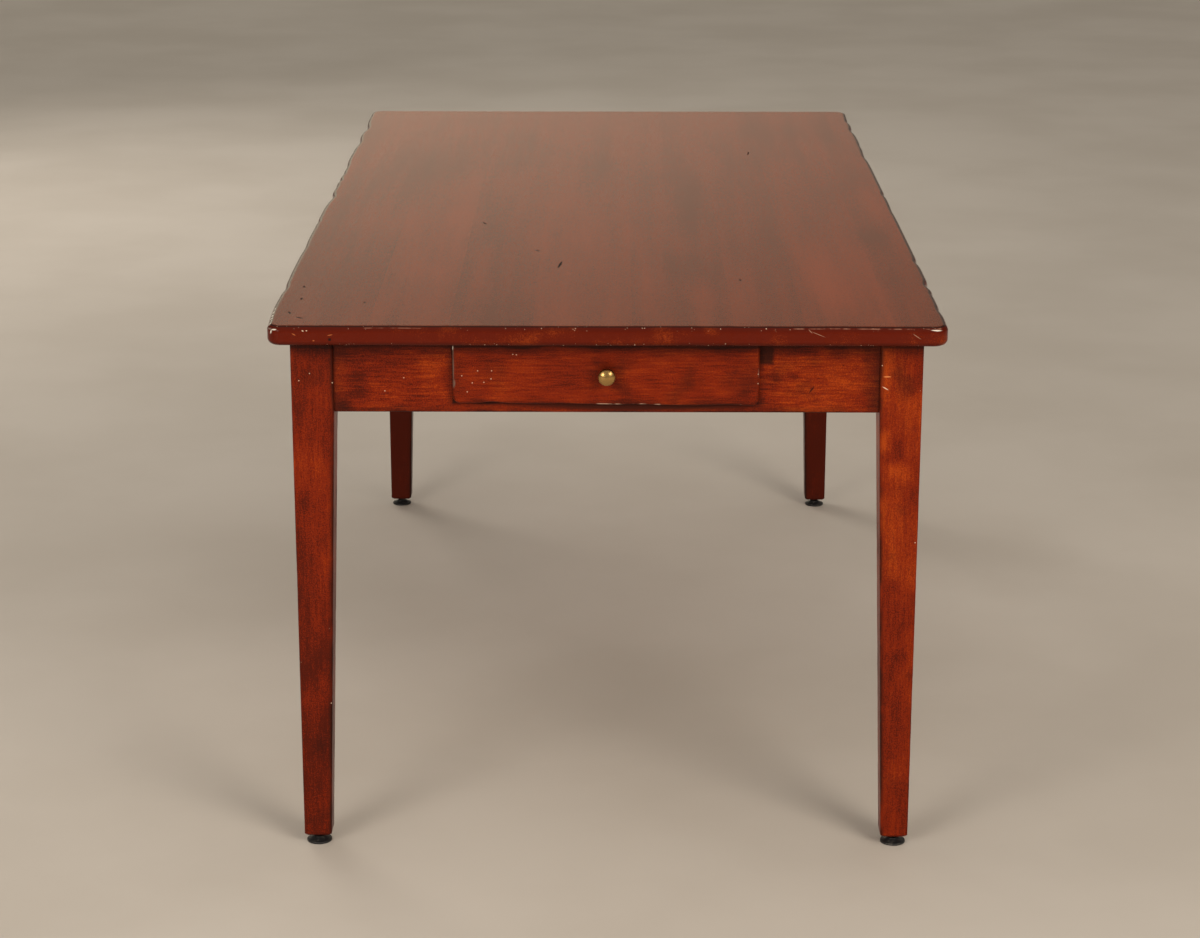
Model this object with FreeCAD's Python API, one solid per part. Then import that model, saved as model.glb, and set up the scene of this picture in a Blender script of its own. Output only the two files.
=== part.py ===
"""Tavern table: a plank top on four tapered legs, with one lipped drawer in the front end.

The legs are pulled tight to the aprons by hanger bolts through corner blocks, wooden buttons hold the
top down, and a screw leveller stands under each leg. All sizes are millimetres. The origin is on the
floor under the middle of the top, +Z is up, +Y runs to the rear end, and the drawer pulls out along -Y.
"""

import FreeCAD
import Part

import math
import os

Vector = FreeCAD.Vector

# Overall size
TABLE_HEIGHT = 762.0
TOP_WIDTH = 903.0
TOP_LENGTH = 1770.0

# Slack shared by all pieces
CUT_OVERRUN = 2.0
WOOD_FIT = 0.1

# Plank top
TOP_THICKNESS = 26.5
TOP_CORNER_RADIUS = 22.0
TOP_UPPER_ROUND = 8.0
TOP_LOWER_ROUND = 7.0
BOARD_WIDTH_SHARES = (0.152, 0.118, 0.122, 0.145, 0.148, 0.104, 0.131, 0.080)
SIDE_OVERHANG = 28.5
END_OVERHANG = 57.5

# Legs
LEG_TOP_SIZE = 57.0
LEG_FOOT_SIZE = 38.0
LEG_ARRIS_RADIUS = 2.5
LEG_FOOT_EASE = 3.0
LEG_SEAT_CHAMFER = 9.0

# Aprons
APRON_HEIGHT = 106.0
APRON_THICKNESS = 22.0
APRON_REVEAL = 5.0
APRON_ARRIS_RADIUS = 2.0
GROOVE_DROP = 14.0
GROOVE_HEIGHT = 7.0
GROOVE_DEPTH = 9.0

# Cross rails
RAIL_THICKNESS = 22.0
RAIL_RISE = 4.0
RAIL_HOUSING_DEPTH = 7.0

# Corner blocks and their hanger bolts
BLOCK_THICKNESS = 30.0
BLOCK_GAP = 3.0
BLOCK_RISE = 12.0
BLOCK_DROP = 4.0
BOLT_DIAMETER = 8.0
BOLT_BITE = 40.0
BOLT_POINT = 8.0
BOLT_TAIL = 4.0
BOLT_HEIGHT_SHARES = (0.2, 0.8)
WASHER_WIDTH = 5.0
WASHER_THICKNESS = 1.8
NUT_WALL = 2.5
NUT_HEIGHT = 6.5

# Wood screws
SCREW_HEAD_DIAMETER = 8.4
SCREW_HEAD_HEIGHT = 2.6
SCREW_SHANK_DIAMETER = 4.2
SCREW_POINT = 5.0
SCREW_SLOT_WIDTH = 1.1
SCREW_SLOT_DEPTH = 1.1
BLOCK_SCREW_INSET = 22.0
BLOCK_SCREW_BITE = 16.0
BLOCK_SCREW_HEIGHT_SHARES = (0.2, 0.8)
TOP_SCREW_BITE = 15.0

# Buttons that hold the top down
BUTTON_LENGTH = 40.0
BUTTON_WIDTH = 28.0
BUTTON_GAP = 1.5
BUTTON_TONGUE_GAP = 2.0
BUTTON_SCREW_SHARE = 0.55
BUTTON_BAY_SHARES = (0.3, 0.7)
BUTTON_END_SHARE = 0.36

# Drawer front
DRAWER_FRONT_WIDTH = 412.0
DRAWER_FRONT_THICKNESS = 22.0
DRAWER_LIP = 11.0
DRAWER_LIP_THICKNESS = 10.0
DRAWER_LIP_GAP = 0.3
DRAWER_TOP_GAP = 1.5
DRAWER_STRIP = 13.0
DRAWER_CORNER_RADIUS = 10.0
DRAWER_FACE_ROUND = 4.0

# Drawer box
DRAWER_DEPTH = 430.0
DRAWER_SIDE_THICKNESS = 12.0
DRAWER_SIDE_CLEARANCE = 1.5
DRAWER_RUN_CLEARANCE = 0.3
DRAWER_LIFT_CLEARANCE = 2.0
DRAWER_REAR_GAP = 6.0
TAIL_COUNT = 3
TAIL_LENGTH = 9.0
TAIL_ROOT_SHARE = 0.28
TAIL_TIP_SHARE = 0.36
DRAWER_BACK_THICKNESS = 12.0
DRAWER_BACK_INSET = 14.0
DRAWER_BACK_HOUSING = 4.0
BOTTOM_THICKNESS = 6.0
BOTTOM_RISE = 8.0
BOTTOM_GROOVE_DEPTH = 5.0
BRAD_DIAMETER = 1.6
BRAD_BITE = 16.0
BRAD_WIDTH_SHARES = (-0.7, 0.0, 0.7)

# Drawer runners and kickers
RUNNER_THICKNESS = 16.0
RUNNER_REACH = 28.0
RUNNER_TENON_LENGTH = 8.0
RUNNER_TENON_SHOULDER = 3.0
FENCE_THICKNESS = 14.0
FENCE_HEIGHT = 32.0
KICKER_WIDTH = 20.0
KICKER_CLEARANCE = 1.0
KICKER_SCREW_SHARES = (0.12, 0.5, 0.88)

# Drawer knob and its screw
KNOB_DIAMETER = 24.0
KNOB_DROP = 2.5
KNOB_CROWN_RADIUS = 17.0
KNOB_RIM_RADIUS = 4.5
KNOB_PROJECTION = 25.0
KNOB_BASE_DIAMETER = 13.0
KNOB_BASE_HEIGHT = 1.8
KNOB_NECK_DIAMETER = 9.0
KNOB_COVE_SHARE = 0.2
KNOB_SCREW_DIAMETER = 4.0
KNOB_SCREW_BITE = 10.0
KNOB_SCREW_HEAD_DIAMETER = 8.0
KNOB_SCREW_HEAD_HEIGHT = 2.6

# Screw levellers
PAD_DIAMETER = 35.0
PAD_EDGE_HEIGHT = 3.4
PAD_EDGE_ROUND = 1.0
PAD_HUB_DIAMETER = 17.0
PAD_FLOOR = 2.0
PAD_ROOF = 3.0
PAD_SOCKET_CLEARANCE = 0.25
STUD_DIAMETER = 8.0
STUD_NECK_DIAMETER = 6.0
STUD_FLANGE_DIAMETER = 11.0
STUD_FLANGE_HEIGHT = 2.5
STUD_ENGAGEMENT = 38.0
STUD_END_CHAMFER = 1.0
STUD_THREAD_CLEARANCE = 0.15
COLLAR_ACROSS_FLATS = 13.0
COLLAR_HEIGHT = 3.2
COLLAR_GAP = 0.4
LEVELLER_RETRACT = 2.0
LEVELLER_STOP_GAP = 0.4
INSERT_WALL = 2.5
INSERT_LENGTH = 22.0
INSERT_FLANGE_WIDTH = 3.5
INSERT_FLANGE_HEIGHT = 1.6
STUD_HOLE_CLEARANCE = 0.5
STUD_HOLE_SPARE = 4.0

# Levels above the floor
top_under = TABLE_HEIGHT - TOP_THICKNESS
apron_low = top_under - APRON_HEIGHT
groove_high = top_under - GROOVE_DROP
groove_low = groove_high - GROOVE_HEIGHT
rail_low = apron_low + RAIL_RISE
socket_roof = PAD_FLOOR + STUD_FLANGE_HEIGHT + 2 * PAD_SOCKET_CLEARANCE
pad_high = socket_roof + PAD_ROOF
collar_low = pad_high + COLLAR_GAP
collar_high = collar_low + COLLAR_HEIGHT
leg_low = collar_high + LEVELLER_RETRACT + LEVELLER_STOP_GAP
stud_high = leg_low + STUD_ENGAGEMENT

# Places in plan, all as distances from the middle of the table
leg_out_x = TOP_WIDTH / 2 - SIDE_OVERHANG
leg_out_y = TOP_LENGTH / 2 - END_OVERHANG
leg_in_x = leg_out_x - LEG_TOP_SIZE
leg_in_y = leg_out_y - LEG_TOP_SIZE
apron_out_x = leg_out_x - APRON_REVEAL
apron_out_y = leg_out_y - APRON_REVEAL
apron_in_x = apron_out_x - APRON_THICKNESS
apron_in_y = apron_out_y - APRON_THICKNESS
foot_x = leg_out_x - LEG_FOOT_SIZE / 2
foot_y = leg_out_y - LEG_FOOT_SIZE / 2

# Places along a corner's diagonal, outward from the leg's inner arris
seat_depth = LEG_SEAT_CHAMFER / math.sqrt(2)
block_outer = seat_depth - BLOCK_GAP
block_inner = block_outer - BLOCK_THICKNESS
apron_reach = (LEG_TOP_SIZE - APRON_REVEAL - APRON_THICKNESS) * math.sqrt(2)
block_low = apron_low + BLOCK_RISE
block_high = groove_low - BLOCK_DROP

# Drawer front, opening and box
front_low = apron_low + DRAWER_STRIP
front_high = top_under - DRAWER_TOP_GAP
opening_half = DRAWER_FRONT_WIDTH / 2 - DRAWER_LIP
opening_low = front_low + DRAWER_LIP
opening_high = front_high - DRAWER_LIP
box_half = opening_half - DRAWER_SIDE_CLEARANCE
box_inner_half = box_half - DRAWER_SIDE_THICKNESS
box_low = opening_low + DRAWER_RUN_CLEARANCE
box_high = opening_high - DRAWER_LIFT_CLEARANCE
lip_back = -apron_out_y - DRAWER_LIP_GAP
lip_front = lip_back - DRAWER_LIP_THICKNESS
front_back = lip_front + DRAWER_FRONT_THICKNESS
box_rear = front_back + DRAWER_DEPTH
bottom_low = box_low + BOTTOM_RISE
bottom_high = bottom_low + BOTTOM_THICKNESS
back_rear = box_rear - DRAWER_BACK_INSET
back_front = back_rear - DRAWER_BACK_THICKNESS
knob_z = (front_low + front_high) / 2 - KNOB_DROP

# Cross rails and what they carry
rail_front = box_rear + DRAWER_REAR_GAP
rail_front_back = rail_front + RAIL_THICKNESS
rear_rail_front = (rail_front_back + apron_in_y - RAIL_THICKNESS) / 2
rear_rail_back = rear_rail_front + RAIL_THICKNESS
ledge_low = opening_low - RUNNER_THICKNESS
fence_in = box_half + DRAWER_SIDE_CLEARANCE
fence_out = fence_in + FENCE_THICKNESS
kicker_low = box_high + KICKER_CLEARANCE

CORNERS = {
    "front_left": (-1, -1),
    "front_right": (1, -1),
    "rear_left": (-1, 1),
    "rear_right": (1, 1),
}
SIDES = {"left": -1, "right": 1}


def box(x_ends, y_ends, z_ends):
    """A box between two values on each axis, in either order."""
    ends = [sorted(pair) for pair in (x_ends, y_ends, z_ends)]
    sizes = [high - low for low, high in ends]
    return Part.makeBox(*sizes, Vector(*[low for low, high in ends]))


def prism(points, travel):
    """A closed polygon of vectors, carried along the vector travel."""
    return Part.Face(Part.makePolygon([*points, points[0]])).extrude(travel)


def lathe(points):
    """A closed polygon of (radius, height) pairs, turned about the Z axis."""
    outline = [Vector(radius, 0, height) for radius, height in points]
    face = Part.Face(Part.makePolygon([*outline, outline[0]]))
    return face.revolve(Vector(0, 0, 0), Vector(0, 0, 1), 360)


def stand(shape, at, direction):
    """The shape moved from the origin to a point, with its Z axis turned along direction."""
    turned = shape.copy()
    turned.Placement = FreeCAD.Placement(at, FreeCAD.Rotation(Vector(0, 0, 1), direction))
    return turned


def carve(shape, cutters):
    """The shape less each cutter that comes near it, as one solid."""
    near = [cutter for cutter in cutters if shape.BoundBox.intersect(cutter.BoundBox)]
    if near:
        shape = shape.cut(near)
    if len(shape.Solids) != 1:
        raise ValueError(f"a piece came out as {len(shape.Solids)} solids")
    return shape.Solids[0]


def rounded_square(x_ends, y_ends, height, radius):
    """A level rectangular wire with its corners rounded by arcs."""
    x0, x1 = sorted(x_ends)
    y0, y1 = sorted(y_ends)
    bend = radius * (1 - math.sqrt(0.5))
    corners = (
        ((x0, y0 + radius), (x0 + bend, y0 + bend), (x0 + radius, y0)),
        ((x1 - radius, y0), (x1 - bend, y0 + bend), (x1, y0 + radius)),
        ((x1, y1 - radius), (x1 - bend, y1 - bend), (x1 - radius, y1)),
        ((x0 + radius, y1), (x0 + bend, y1 - bend), (x0, y1 - radius)),
    )
    arcs = [[Vector(x, y, height) for x, y in corner] for corner in corners]
    edges = []
    for arc, following in zip(arcs, arcs[1:] + arcs[:1]):
        edges.append(Part.Arc(*arc).toShape())
        edges.append(Part.LineSegment(arc[2], following[0]).toShape())
    return Part.Wire(edges)


def wood_screw(length, slack=0.0):
    """A countersunk screw from its head at the origin along +Z; with slack, the hole that takes it."""
    head = SCREW_HEAD_DIAMETER / 2 + slack
    shank = SCREW_SHANK_DIAMETER / 2 + slack
    neck = SCREW_HEAD_HEIGHT
    end = length + slack
    body = lathe([(0, 0), (head, 0), (shank, neck), (shank, end - SCREW_POINT), (0, end)])
    if slack:
        return body
    slot = box((-head, head), (-SCREW_SLOT_WIDTH / 2, SCREW_SLOT_WIDTH / 2), (0, SCREW_SLOT_DEPTH))
    return body.cut(slot).Solids[0]


def drive(screws, length):
    """Screws and their holes for a list of (head point, direction) pairs."""
    pieces = [stand(wood_screw(length), at, way) for at, way in screws]
    holes = [stand(wood_screw(length, WOOD_FIT), at, way) for at, way in screws]
    return pieces, holes


def hexagon(across_flats, height):
    """A hexagonal prism on the origin, rising along +Z."""
    radius = across_flats / math.sqrt(3)
    turns = [math.radians(60 * k) for k in range(6)]
    points = [Vector(radius * math.cos(turn), radius * math.sin(turn), 0) for turn in turns]
    return prism(points, Vector(0, 0, height))


def corner_point(signs, depth, along, height):
    """A point at a corner: depth outward on the diagonal from the leg's inner arris, along square to it."""
    sx, sy = signs
    outward = Vector(sx, sy, 0) / math.sqrt(2)
    sideways = Vector(-sy, sx, 0) / math.sqrt(2)
    return Vector(sx * leg_in_x, sy * leg_in_y, height) + outward * depth + sideways * along


def outward(signs):
    """The level diagonal that points out of the table at a corner."""
    return Vector(*signs, 0) / math.sqrt(2)


def between(low, high, shares):
    """The values at given shares of the way from low to high."""
    return [low + (high - low) * share for share in shares]


# Corner fasteners: hanger bolts with washers and nuts, and the screws of the blocks
def corner_fasteners():
    """Bolts, washers, nuts and block screws at every corner, with the holes that they need."""
    start = block_inner - WASHER_THICKNESS - NUT_HEIGHT - BOLT_TAIL
    length = seat_depth + BOLT_BITE - start
    radius = BOLT_DIAMETER / 2

    def bolt(slack):
        reach = length + slack
        edge = radius + slack
        return lathe([(0, 0), (edge, 0), (edge, reach - BOLT_POINT), (0, reach)])

    bore = Part.makeCylinder(radius + WOOD_FIT, NUT_HEIGHT)
    nut = hexagon(BOLT_DIAMETER + 2 * NUT_WALL, NUT_HEIGHT).cut(bore).Solids[0]
    disc = Part.makeCylinder(radius + WASHER_WIDTH, WASHER_THICKNESS)
    washer = disc.cut(Part.makeCylinder(radius + WOOD_FIT, WASHER_THICKNESS)).Solids[0]
    made = {"hanger_bolts": [], "hanger_washers": [], "hanger_nuts": []}
    holes = []
    screws = []
    screw_along = apron_reach - block_inner - BLOCK_SCREW_INSET
    for signs in CORNERS.values():
        way = outward(signs)
        for height in between(block_low, block_high, BOLT_HEIGHT_SHARES):
            foot = corner_point(signs, start, 0, height)
            made["hanger_bolts"].append(stand(bolt(0), foot, way))
            holes.append(stand(bolt(WOOD_FIT), foot, way))
            nut_depth = block_inner - WASHER_THICKNESS - NUT_HEIGHT
            made["hanger_nuts"].append(stand(nut, corner_point(signs, nut_depth, 0, height), way))
            washer_depth = block_inner - WASHER_THICKNESS
            made["hanger_washers"].append(stand(washer, corner_point(signs, washer_depth, 0, height), way))
        for height in between(block_low, block_high, BLOCK_SCREW_HEIGHT_SHARES):
            for along in (-screw_along, screw_along):
                screws.append((corner_point(signs, block_inner, along, height), way))
    made["block_screws"], screw_holes = drive(screws, BLOCK_SCREW_INSET + BLOCK_SCREW_BITE)
    pieces = {name: Part.makeCompound(shapes) for name, shapes in made.items()}
    return pieces, holes + screw_holes


# Corner blocks
def corner_blocks(holes):
    """A diagonal block at each corner, wedged between the two aprons behind the leg."""
    blocks = {}
    for name, signs in CORNERS.items():
        outline = [
            corner_point(signs, block_outer, block_outer - apron_reach, block_low),
            corner_point(signs, block_outer, apron_reach - block_outer, block_low),
            corner_point(signs, block_inner, apron_reach - block_inner, block_low),
            corner_point(signs, block_inner, block_inner - apron_reach, block_low),
        ]
        block = prism(outline, Vector(0, 0, block_high - block_low))
        blocks[f"corner_block_{name}"] = carve(block, holes)
    return blocks


# Buttons and their screws
def button_places():
    """(point on an apron's inner face under the top, turn about Z of the way into the table)."""
    bays = (
        (-leg_in_y, rail_front),
        (rail_front_back, rear_rail_front),
        (rear_rail_back, leg_in_y),
    )
    places = []
    for bay in bays:
        for y in between(*bay, BUTTON_BAY_SHARES):
            places.append((Vector(-apron_in_x, y, top_under), 0))
            places.append((Vector(apron_in_x, y, top_under), 180))
    x = leg_in_x - (leg_in_x - opening_half) * (1 - BUTTON_END_SHARE)
    for end_x in (-x, x):
        places.append((Vector(end_x, -apron_in_y, top_under), 90))
        places.append((Vector(end_x, apron_in_y, top_under), -90))
    return places


def buttons():
    """Tongued buttons under the top with their screws, and the holes that the screws need."""
    low = groove_low - top_under + WOOD_FIT
    tongue_high = groove_high - top_under - WOOD_FIT
    tongue_end = BUTTON_TONGUE_GAP - GROOVE_DEPTH
    profile = [
        Vector(BUTTON_GAP, -BUTTON_WIDTH / 2, 0),
        Vector(BUTTON_LENGTH, -BUTTON_WIDTH / 2, 0),
        Vector(BUTTON_LENGTH, -BUTTON_WIDTH / 2, low),
        Vector(tongue_end, -BUTTON_WIDTH / 2, low),
        Vector(tongue_end, -BUTTON_WIDTH / 2, tongue_high),
        Vector(BUTTON_GAP, -BUTTON_WIDTH / 2, tongue_high),
    ]
    blank = prism(profile, Vector(0, BUTTON_WIDTH, 0))
    screw_at = Vector(BUTTON_LENGTH * BUTTON_SCREW_SHARE, 0, low)
    bodies = []
    screws = []
    for at, turn in button_places():
        placement = FreeCAD.Placement(at, FreeCAD.Rotation(Vector(0, 0, 1), turn))
        body = blank.copy()
        body.Placement = placement
        bodies.append(body)
        screws.append((placement.multVec(screw_at), Vector(0, 0, 1)))
    pieces, holes = drive(screws, TOP_SCREW_BITE - low)
    made = {
        "top_buttons": Part.makeCompound([carve(body, holes) for body in bodies]),
        "button_screws": Part.makeCompound(pieces),
    }
    return made, holes


# Kickers above the drawer sides, screwed up into the top
def kickers():
    """A strip over each drawer side that keeps the open drawer from tipping, and its screws."""
    screws = []
    for side in SIDES.values():
        x = side * (box_half - KICKER_WIDTH / 2)
        for y in between(-apron_in_y, rail_front, KICKER_SCREW_SHARES):
            screws.append((Vector(x, y, kicker_low), Vector(0, 0, 1)))
    pieces, holes = drive(screws, top_under - kicker_low + TOP_SCREW_BITE)
    made = {"kicker_screws": Part.makeCompound(pieces)}
    for name, side in SIDES.items():
        x_ends = (side * (box_half - KICKER_WIDTH), side * box_half)
        strip = box(x_ends, (-apron_in_y, rail_front), (kicker_low, top_under))
        made[f"drawer_kicker_{name}"] = carve(strip, holes)
    return made, holes


# Plank top
def plank_top(holes):
    """Boards cut from one slab whose corners and edges are rounded."""
    half_x = TOP_WIDTH / 2
    half_y = TOP_LENGTH / 2
    slab = box((-half_x, half_x), (-half_y, half_y), (top_under, TABLE_HEIGHT))

    def level_edges(height):
        return [e for e in slab.Edges if all(abs(v.Z - height) < WOOD_FIT for v in e.Vertexes)]

    upright = [e for e in slab.Edges if e.Vertexes[0].Z != e.Vertexes[1].Z]
    slab = slab.makeFillet(TOP_CORNER_RADIUS, upright)
    slab = slab.makeFillet(TOP_UPPER_ROUND, level_edges(TABLE_HEIGHT))
    slab = slab.makeFillet(TOP_LOWER_ROUND, level_edges(top_under))
    boards = {}
    left = -half_x
    for number, share in enumerate(BOARD_WIDTH_SHARES, 1):
        right = left + TOP_WIDTH * share / sum(BOARD_WIDTH_SHARES)
        board = slab.common(box((left, right), (-half_y, half_y), (top_under, TABLE_HEIGHT)))
        boards[f"top_board_{number}"] = carve(board, holes)
        left = right
    return boards


# Legs
def legs(holes):
    """Square legs, straight behind the aprons, tapered below on the two inner faces."""
    made = {}
    for name, (sx, sy) in CORNERS.items():

        def section(size, height, ease=0.0):
            x_ends = (sx * (leg_out_x - ease), sx * (leg_out_x - size + ease))
            y_ends = (sy * (leg_out_y - ease), sy * (leg_out_y - size + ease))
            return rounded_square(x_ends, y_ends, height, LEG_ARRIS_RADIUS)

        sections = [
            section(LEG_FOOT_SIZE, leg_low, LEG_FOOT_EASE),
            section(LEG_FOOT_SIZE, leg_low + LEG_FOOT_EASE),
            section(LEG_TOP_SIZE, apron_low),
            section(LEG_TOP_SIZE, top_under),
        ]
        leg = Part.makeLoft(sections, True, True)
        seat = prism(
            [
                corner_point((sx, sy), -CUT_OVERRUN, -seat_depth - CUT_OVERRUN, apron_low),
                corner_point((sx, sy), -CUT_OVERRUN, seat_depth + CUT_OVERRUN, apron_low),
                corner_point((sx, sy), seat_depth, seat_depth + CUT_OVERRUN, apron_low),
                corner_point((sx, sy), seat_depth, -seat_depth - CUT_OVERRUN, apron_low),
            ],
            Vector(0, 0, APRON_HEIGHT + CUT_OVERRUN),
        )
        foot = Vector(sx * foot_x, sy * foot_y, leg_low)
        pocket = stand(insert_blank(WOOD_FIT), foot, Vector(0, 0, 1))
        depth = STUD_ENGAGEMENT + LEVELLER_RETRACT + STUD_HOLE_SPARE
        bore = Part.makeCylinder(STUD_DIAMETER / 2 + STUD_HOLE_CLEARANCE, depth, foot)
        made[f"leg_{name}"] = carve(leg, [seat, pocket, bore, *holes])
    return made


# Aprons
def side_aprons(holes):
    """Long aprons with a button groove and a housing for each cross rail."""
    made = {}
    for name, side in SIDES.items():
        y_ends = (-leg_in_y, leg_in_y)
        board = box((side * apron_in_x, side * apron_out_x), y_ends, (apron_low, top_under))
        arris = [e for e in board.Edges if on_line(e, x=side * apron_out_x, z=apron_low)]
        board = board.makeFillet(APRON_ARRIS_RADIUS, arris)
        inside = (side * apron_in_x, side * (apron_in_x + GROOVE_DEPTH))
        groove = box(inside, y_ends, (groove_low, groove_high))
        housing_x = (side * apron_in_x, side * (apron_in_x + RAIL_HOUSING_DEPTH + WOOD_FIT))
        housing_z = (rail_low - WOOD_FIT, top_under)
        housings = [
            box(housing_x, (front - WOOD_FIT, back + WOOD_FIT), housing_z)
            for front, back in ((rail_front, rail_front_back), (rear_rail_front, rear_rail_back))
        ]
        made[f"side_apron_{name}"] = carve(board, [groove, *housings, *holes])
    return made


def on_line(edge, x=None, y=None, z=None):
    """Whether both ends of an edge lie at the given coordinates."""
    ends = edge.Vertexes
    wanted = ((x, "X"), (y, "Y"), (z, "Z"))
    return all(abs(getattr(v, axis) - at) < WOOD_FIT for at, axis in wanted if at is not None for v in ends)


def end_aprons(holes):
    """Front apron, opened for the drawer and mortised for its runners, and the plain rear apron."""
    made = {}
    for name, end in (("front", -1), ("rear", 1)):
        x_ends = (-leg_in_x, leg_in_x)
        board = box(x_ends, (end * apron_in_y, end * apron_out_y), (apron_low, top_under))
        arris = [e for e in board.Edges if on_line(e, y=end * apron_out_y, z=apron_low)]
        board = board.makeFillet(APRON_ARRIS_RADIUS, arris)
        inside = (end * apron_in_y, end * (apron_in_y + GROOVE_DEPTH))
        cutters = [box(x_ends, inside, (groove_low, groove_high)), *holes]
        if name == "front":
            through = (-apron_out_y - CUT_OVERRUN, -apron_in_y + CUT_OVERRUN)
            cutters.append(box((-opening_half, opening_half), through, (opening_low, opening_high)))
            cutters += runner_mortises(-apron_in_y, -1)
        made[f"{name}_apron"] = carve(board, cutters)
    return made


# Cross rails
def cross_rails():
    """Rails housed in the side aprons: the front one takes the rear tenons of the runners."""
    x_end = apron_in_x + RAIL_HOUSING_DEPTH
    made = {}
    for name, front in (("front", rail_front), ("rear", rear_rail_front)):
        rail = box((-x_end, x_end), (front, front + RAIL_THICKNESS), (rail_low, top_under))
        cutters = runner_mortises(rail_front, 1) if name == "front" else []
        made[f"cross_rail_{name}"] = carve(rail, cutters)
    return made


# Drawer runners
def runner_tenon(side, shoulder_y, way, slack=0.0):
    """The stub tenon at one end of a runner; with slack, the mortise for it."""
    inset = RUNNER_TENON_SHOULDER - slack
    x_ends = (side * (box_half - RUNNER_REACH + inset), side * (fence_out - inset))
    y_ends = (shoulder_y, shoulder_y + way * (RUNNER_TENON_LENGTH + slack))
    return box(x_ends, y_ends, (ledge_low + inset, opening_low - inset))


def runner_mortises(shoulder_y, way):
    """The mortises for both runners in the piece that they end against."""
    return [runner_tenon(side, shoulder_y, way, WOOD_FIT) for side in SIDES.values()]


def runners():
    """Ledges under the drawer sides, each with a fence beside the drawer and a tenon at both ends."""
    made = {}
    for name, side in SIDES.items():
        inner = side * (box_half - RUNNER_REACH)
        outline = [
            Vector(inner, -apron_in_y, ledge_low),
            Vector(side * fence_out, -apron_in_y, ledge_low),
            Vector(side * fence_out, -apron_in_y, opening_low + FENCE_HEIGHT),
            Vector(side * fence_in, -apron_in_y, opening_low + FENCE_HEIGHT),
            Vector(side * fence_in, -apron_in_y, opening_low),
            Vector(inner, -apron_in_y, opening_low),
        ]
        runner = prism(outline, Vector(0, rail_front + apron_in_y, 0))
        tenons = [runner_tenon(side, -apron_in_y, -1), runner_tenon(side, rail_front, 1)]
        made[f"drawer_runner_{name}"] = runner.fuse(tenons).removeSplitter().Solids[0]
    return made


# Drawer
def dovetails(side, slack=0.0):
    """The tails on the front end of a drawer side; with slack, the sockets for them in the front."""
    pitch = (box_high - box_low) / TAIL_COUNT
    root = pitch * TAIL_ROOT_SHARE + slack
    tip = pitch * TAIL_TIP_SHARE + slack
    x = side * (box_inner_half - slack)
    across = Vector(side * (DRAWER_SIDE_THICKNESS + 2 * slack), 0, 0)
    tip_y = front_back - TAIL_LENGTH - slack
    tails = []
    for number in range(TAIL_COUNT):
        middle = box_low + pitch * (number + 0.5)
        outline = [
            Vector(x, front_back, middle - root),
            Vector(x, tip_y, middle - tip),
            Vector(x, tip_y, middle + tip),
            Vector(x, front_back, middle + root),
        ]
        tails.append(prism(outline, across))
    return tails


def bottom_groove():
    """The groove round the inside of the box that takes the bottom panel."""
    half = box_inner_half + BOTTOM_GROOVE_DEPTH
    y_ends = (front_back - BOTTOM_GROOVE_DEPTH, box_rear + CUT_OVERRUN)
    return box((-half, half), y_ends, (bottom_low - WOOD_FIT, bottom_high + WOOD_FIT))


def drawer_front():
    """A thick front, rabbeted at the back all round so that a lip laps over the apron."""
    half = DRAWER_FRONT_WIDTH / 2
    lip = box((-half, half), (lip_front, lip_back), (front_low, front_high))
    corners = [e for e in lip.Edges if e.Vertexes[0].Y != e.Vertexes[1].Y]
    lip = lip.makeFillet(DRAWER_CORNER_RADIUS, corners)
    face = [e for e in lip.Edges if on_line(e, y=lip_front)]
    lip = lip.makeFillet(DRAWER_FACE_ROUND, face)
    tongue = box((-box_half, box_half), (lip_back, front_back), (box_low, box_high))
    front = lip.fuse(tongue).removeSplitter()
    sockets = [tail for side in SIDES.values() for tail in dovetails(side, WOOD_FIT)]
    hole_radius = KNOB_SCREW_DIAMETER / 2 + WOOD_FIT
    at = Vector(0, lip_front - CUT_OVERRUN, knob_z)
    hole = Part.makeCylinder(hole_radius, DRAWER_FRONT_THICKNESS + 2 * CUT_OVERRUN, at, Vector(0, 1, 0))
    return carve(front, [*sockets, bottom_groove(), hole])


def drawer_sides():
    """Box sides with dovetails in front, a bottom groove, and a housing for the back."""
    made = {}
    housing_half = box_inner_half + DRAWER_BACK_HOUSING + WOOD_FIT
    housing_y = (back_front - WOOD_FIT, back_rear + WOOD_FIT)
    housing = box((-housing_half, housing_half), housing_y, (bottom_high, box_high))
    groove_half = box_inner_half + BOTTOM_GROOVE_DEPTH
    tail_end = front_back - TAIL_LENGTH - CUT_OVERRUN
    groove_z = (bottom_low - WOOD_FIT, bottom_high + WOOD_FIT)
    groove = box((-groove_half, groove_half), (tail_end, box_rear), groove_z)
    for name, side in SIDES.items():
        board = box((side * box_inner_half, side * box_half), (front_back, box_rear), (box_low, box_high))
        board = board.fuse(dovetails(side)).removeSplitter()
        made[f"drawer_side_{name}"] = carve(board, [housing, groove])
    return made


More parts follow.
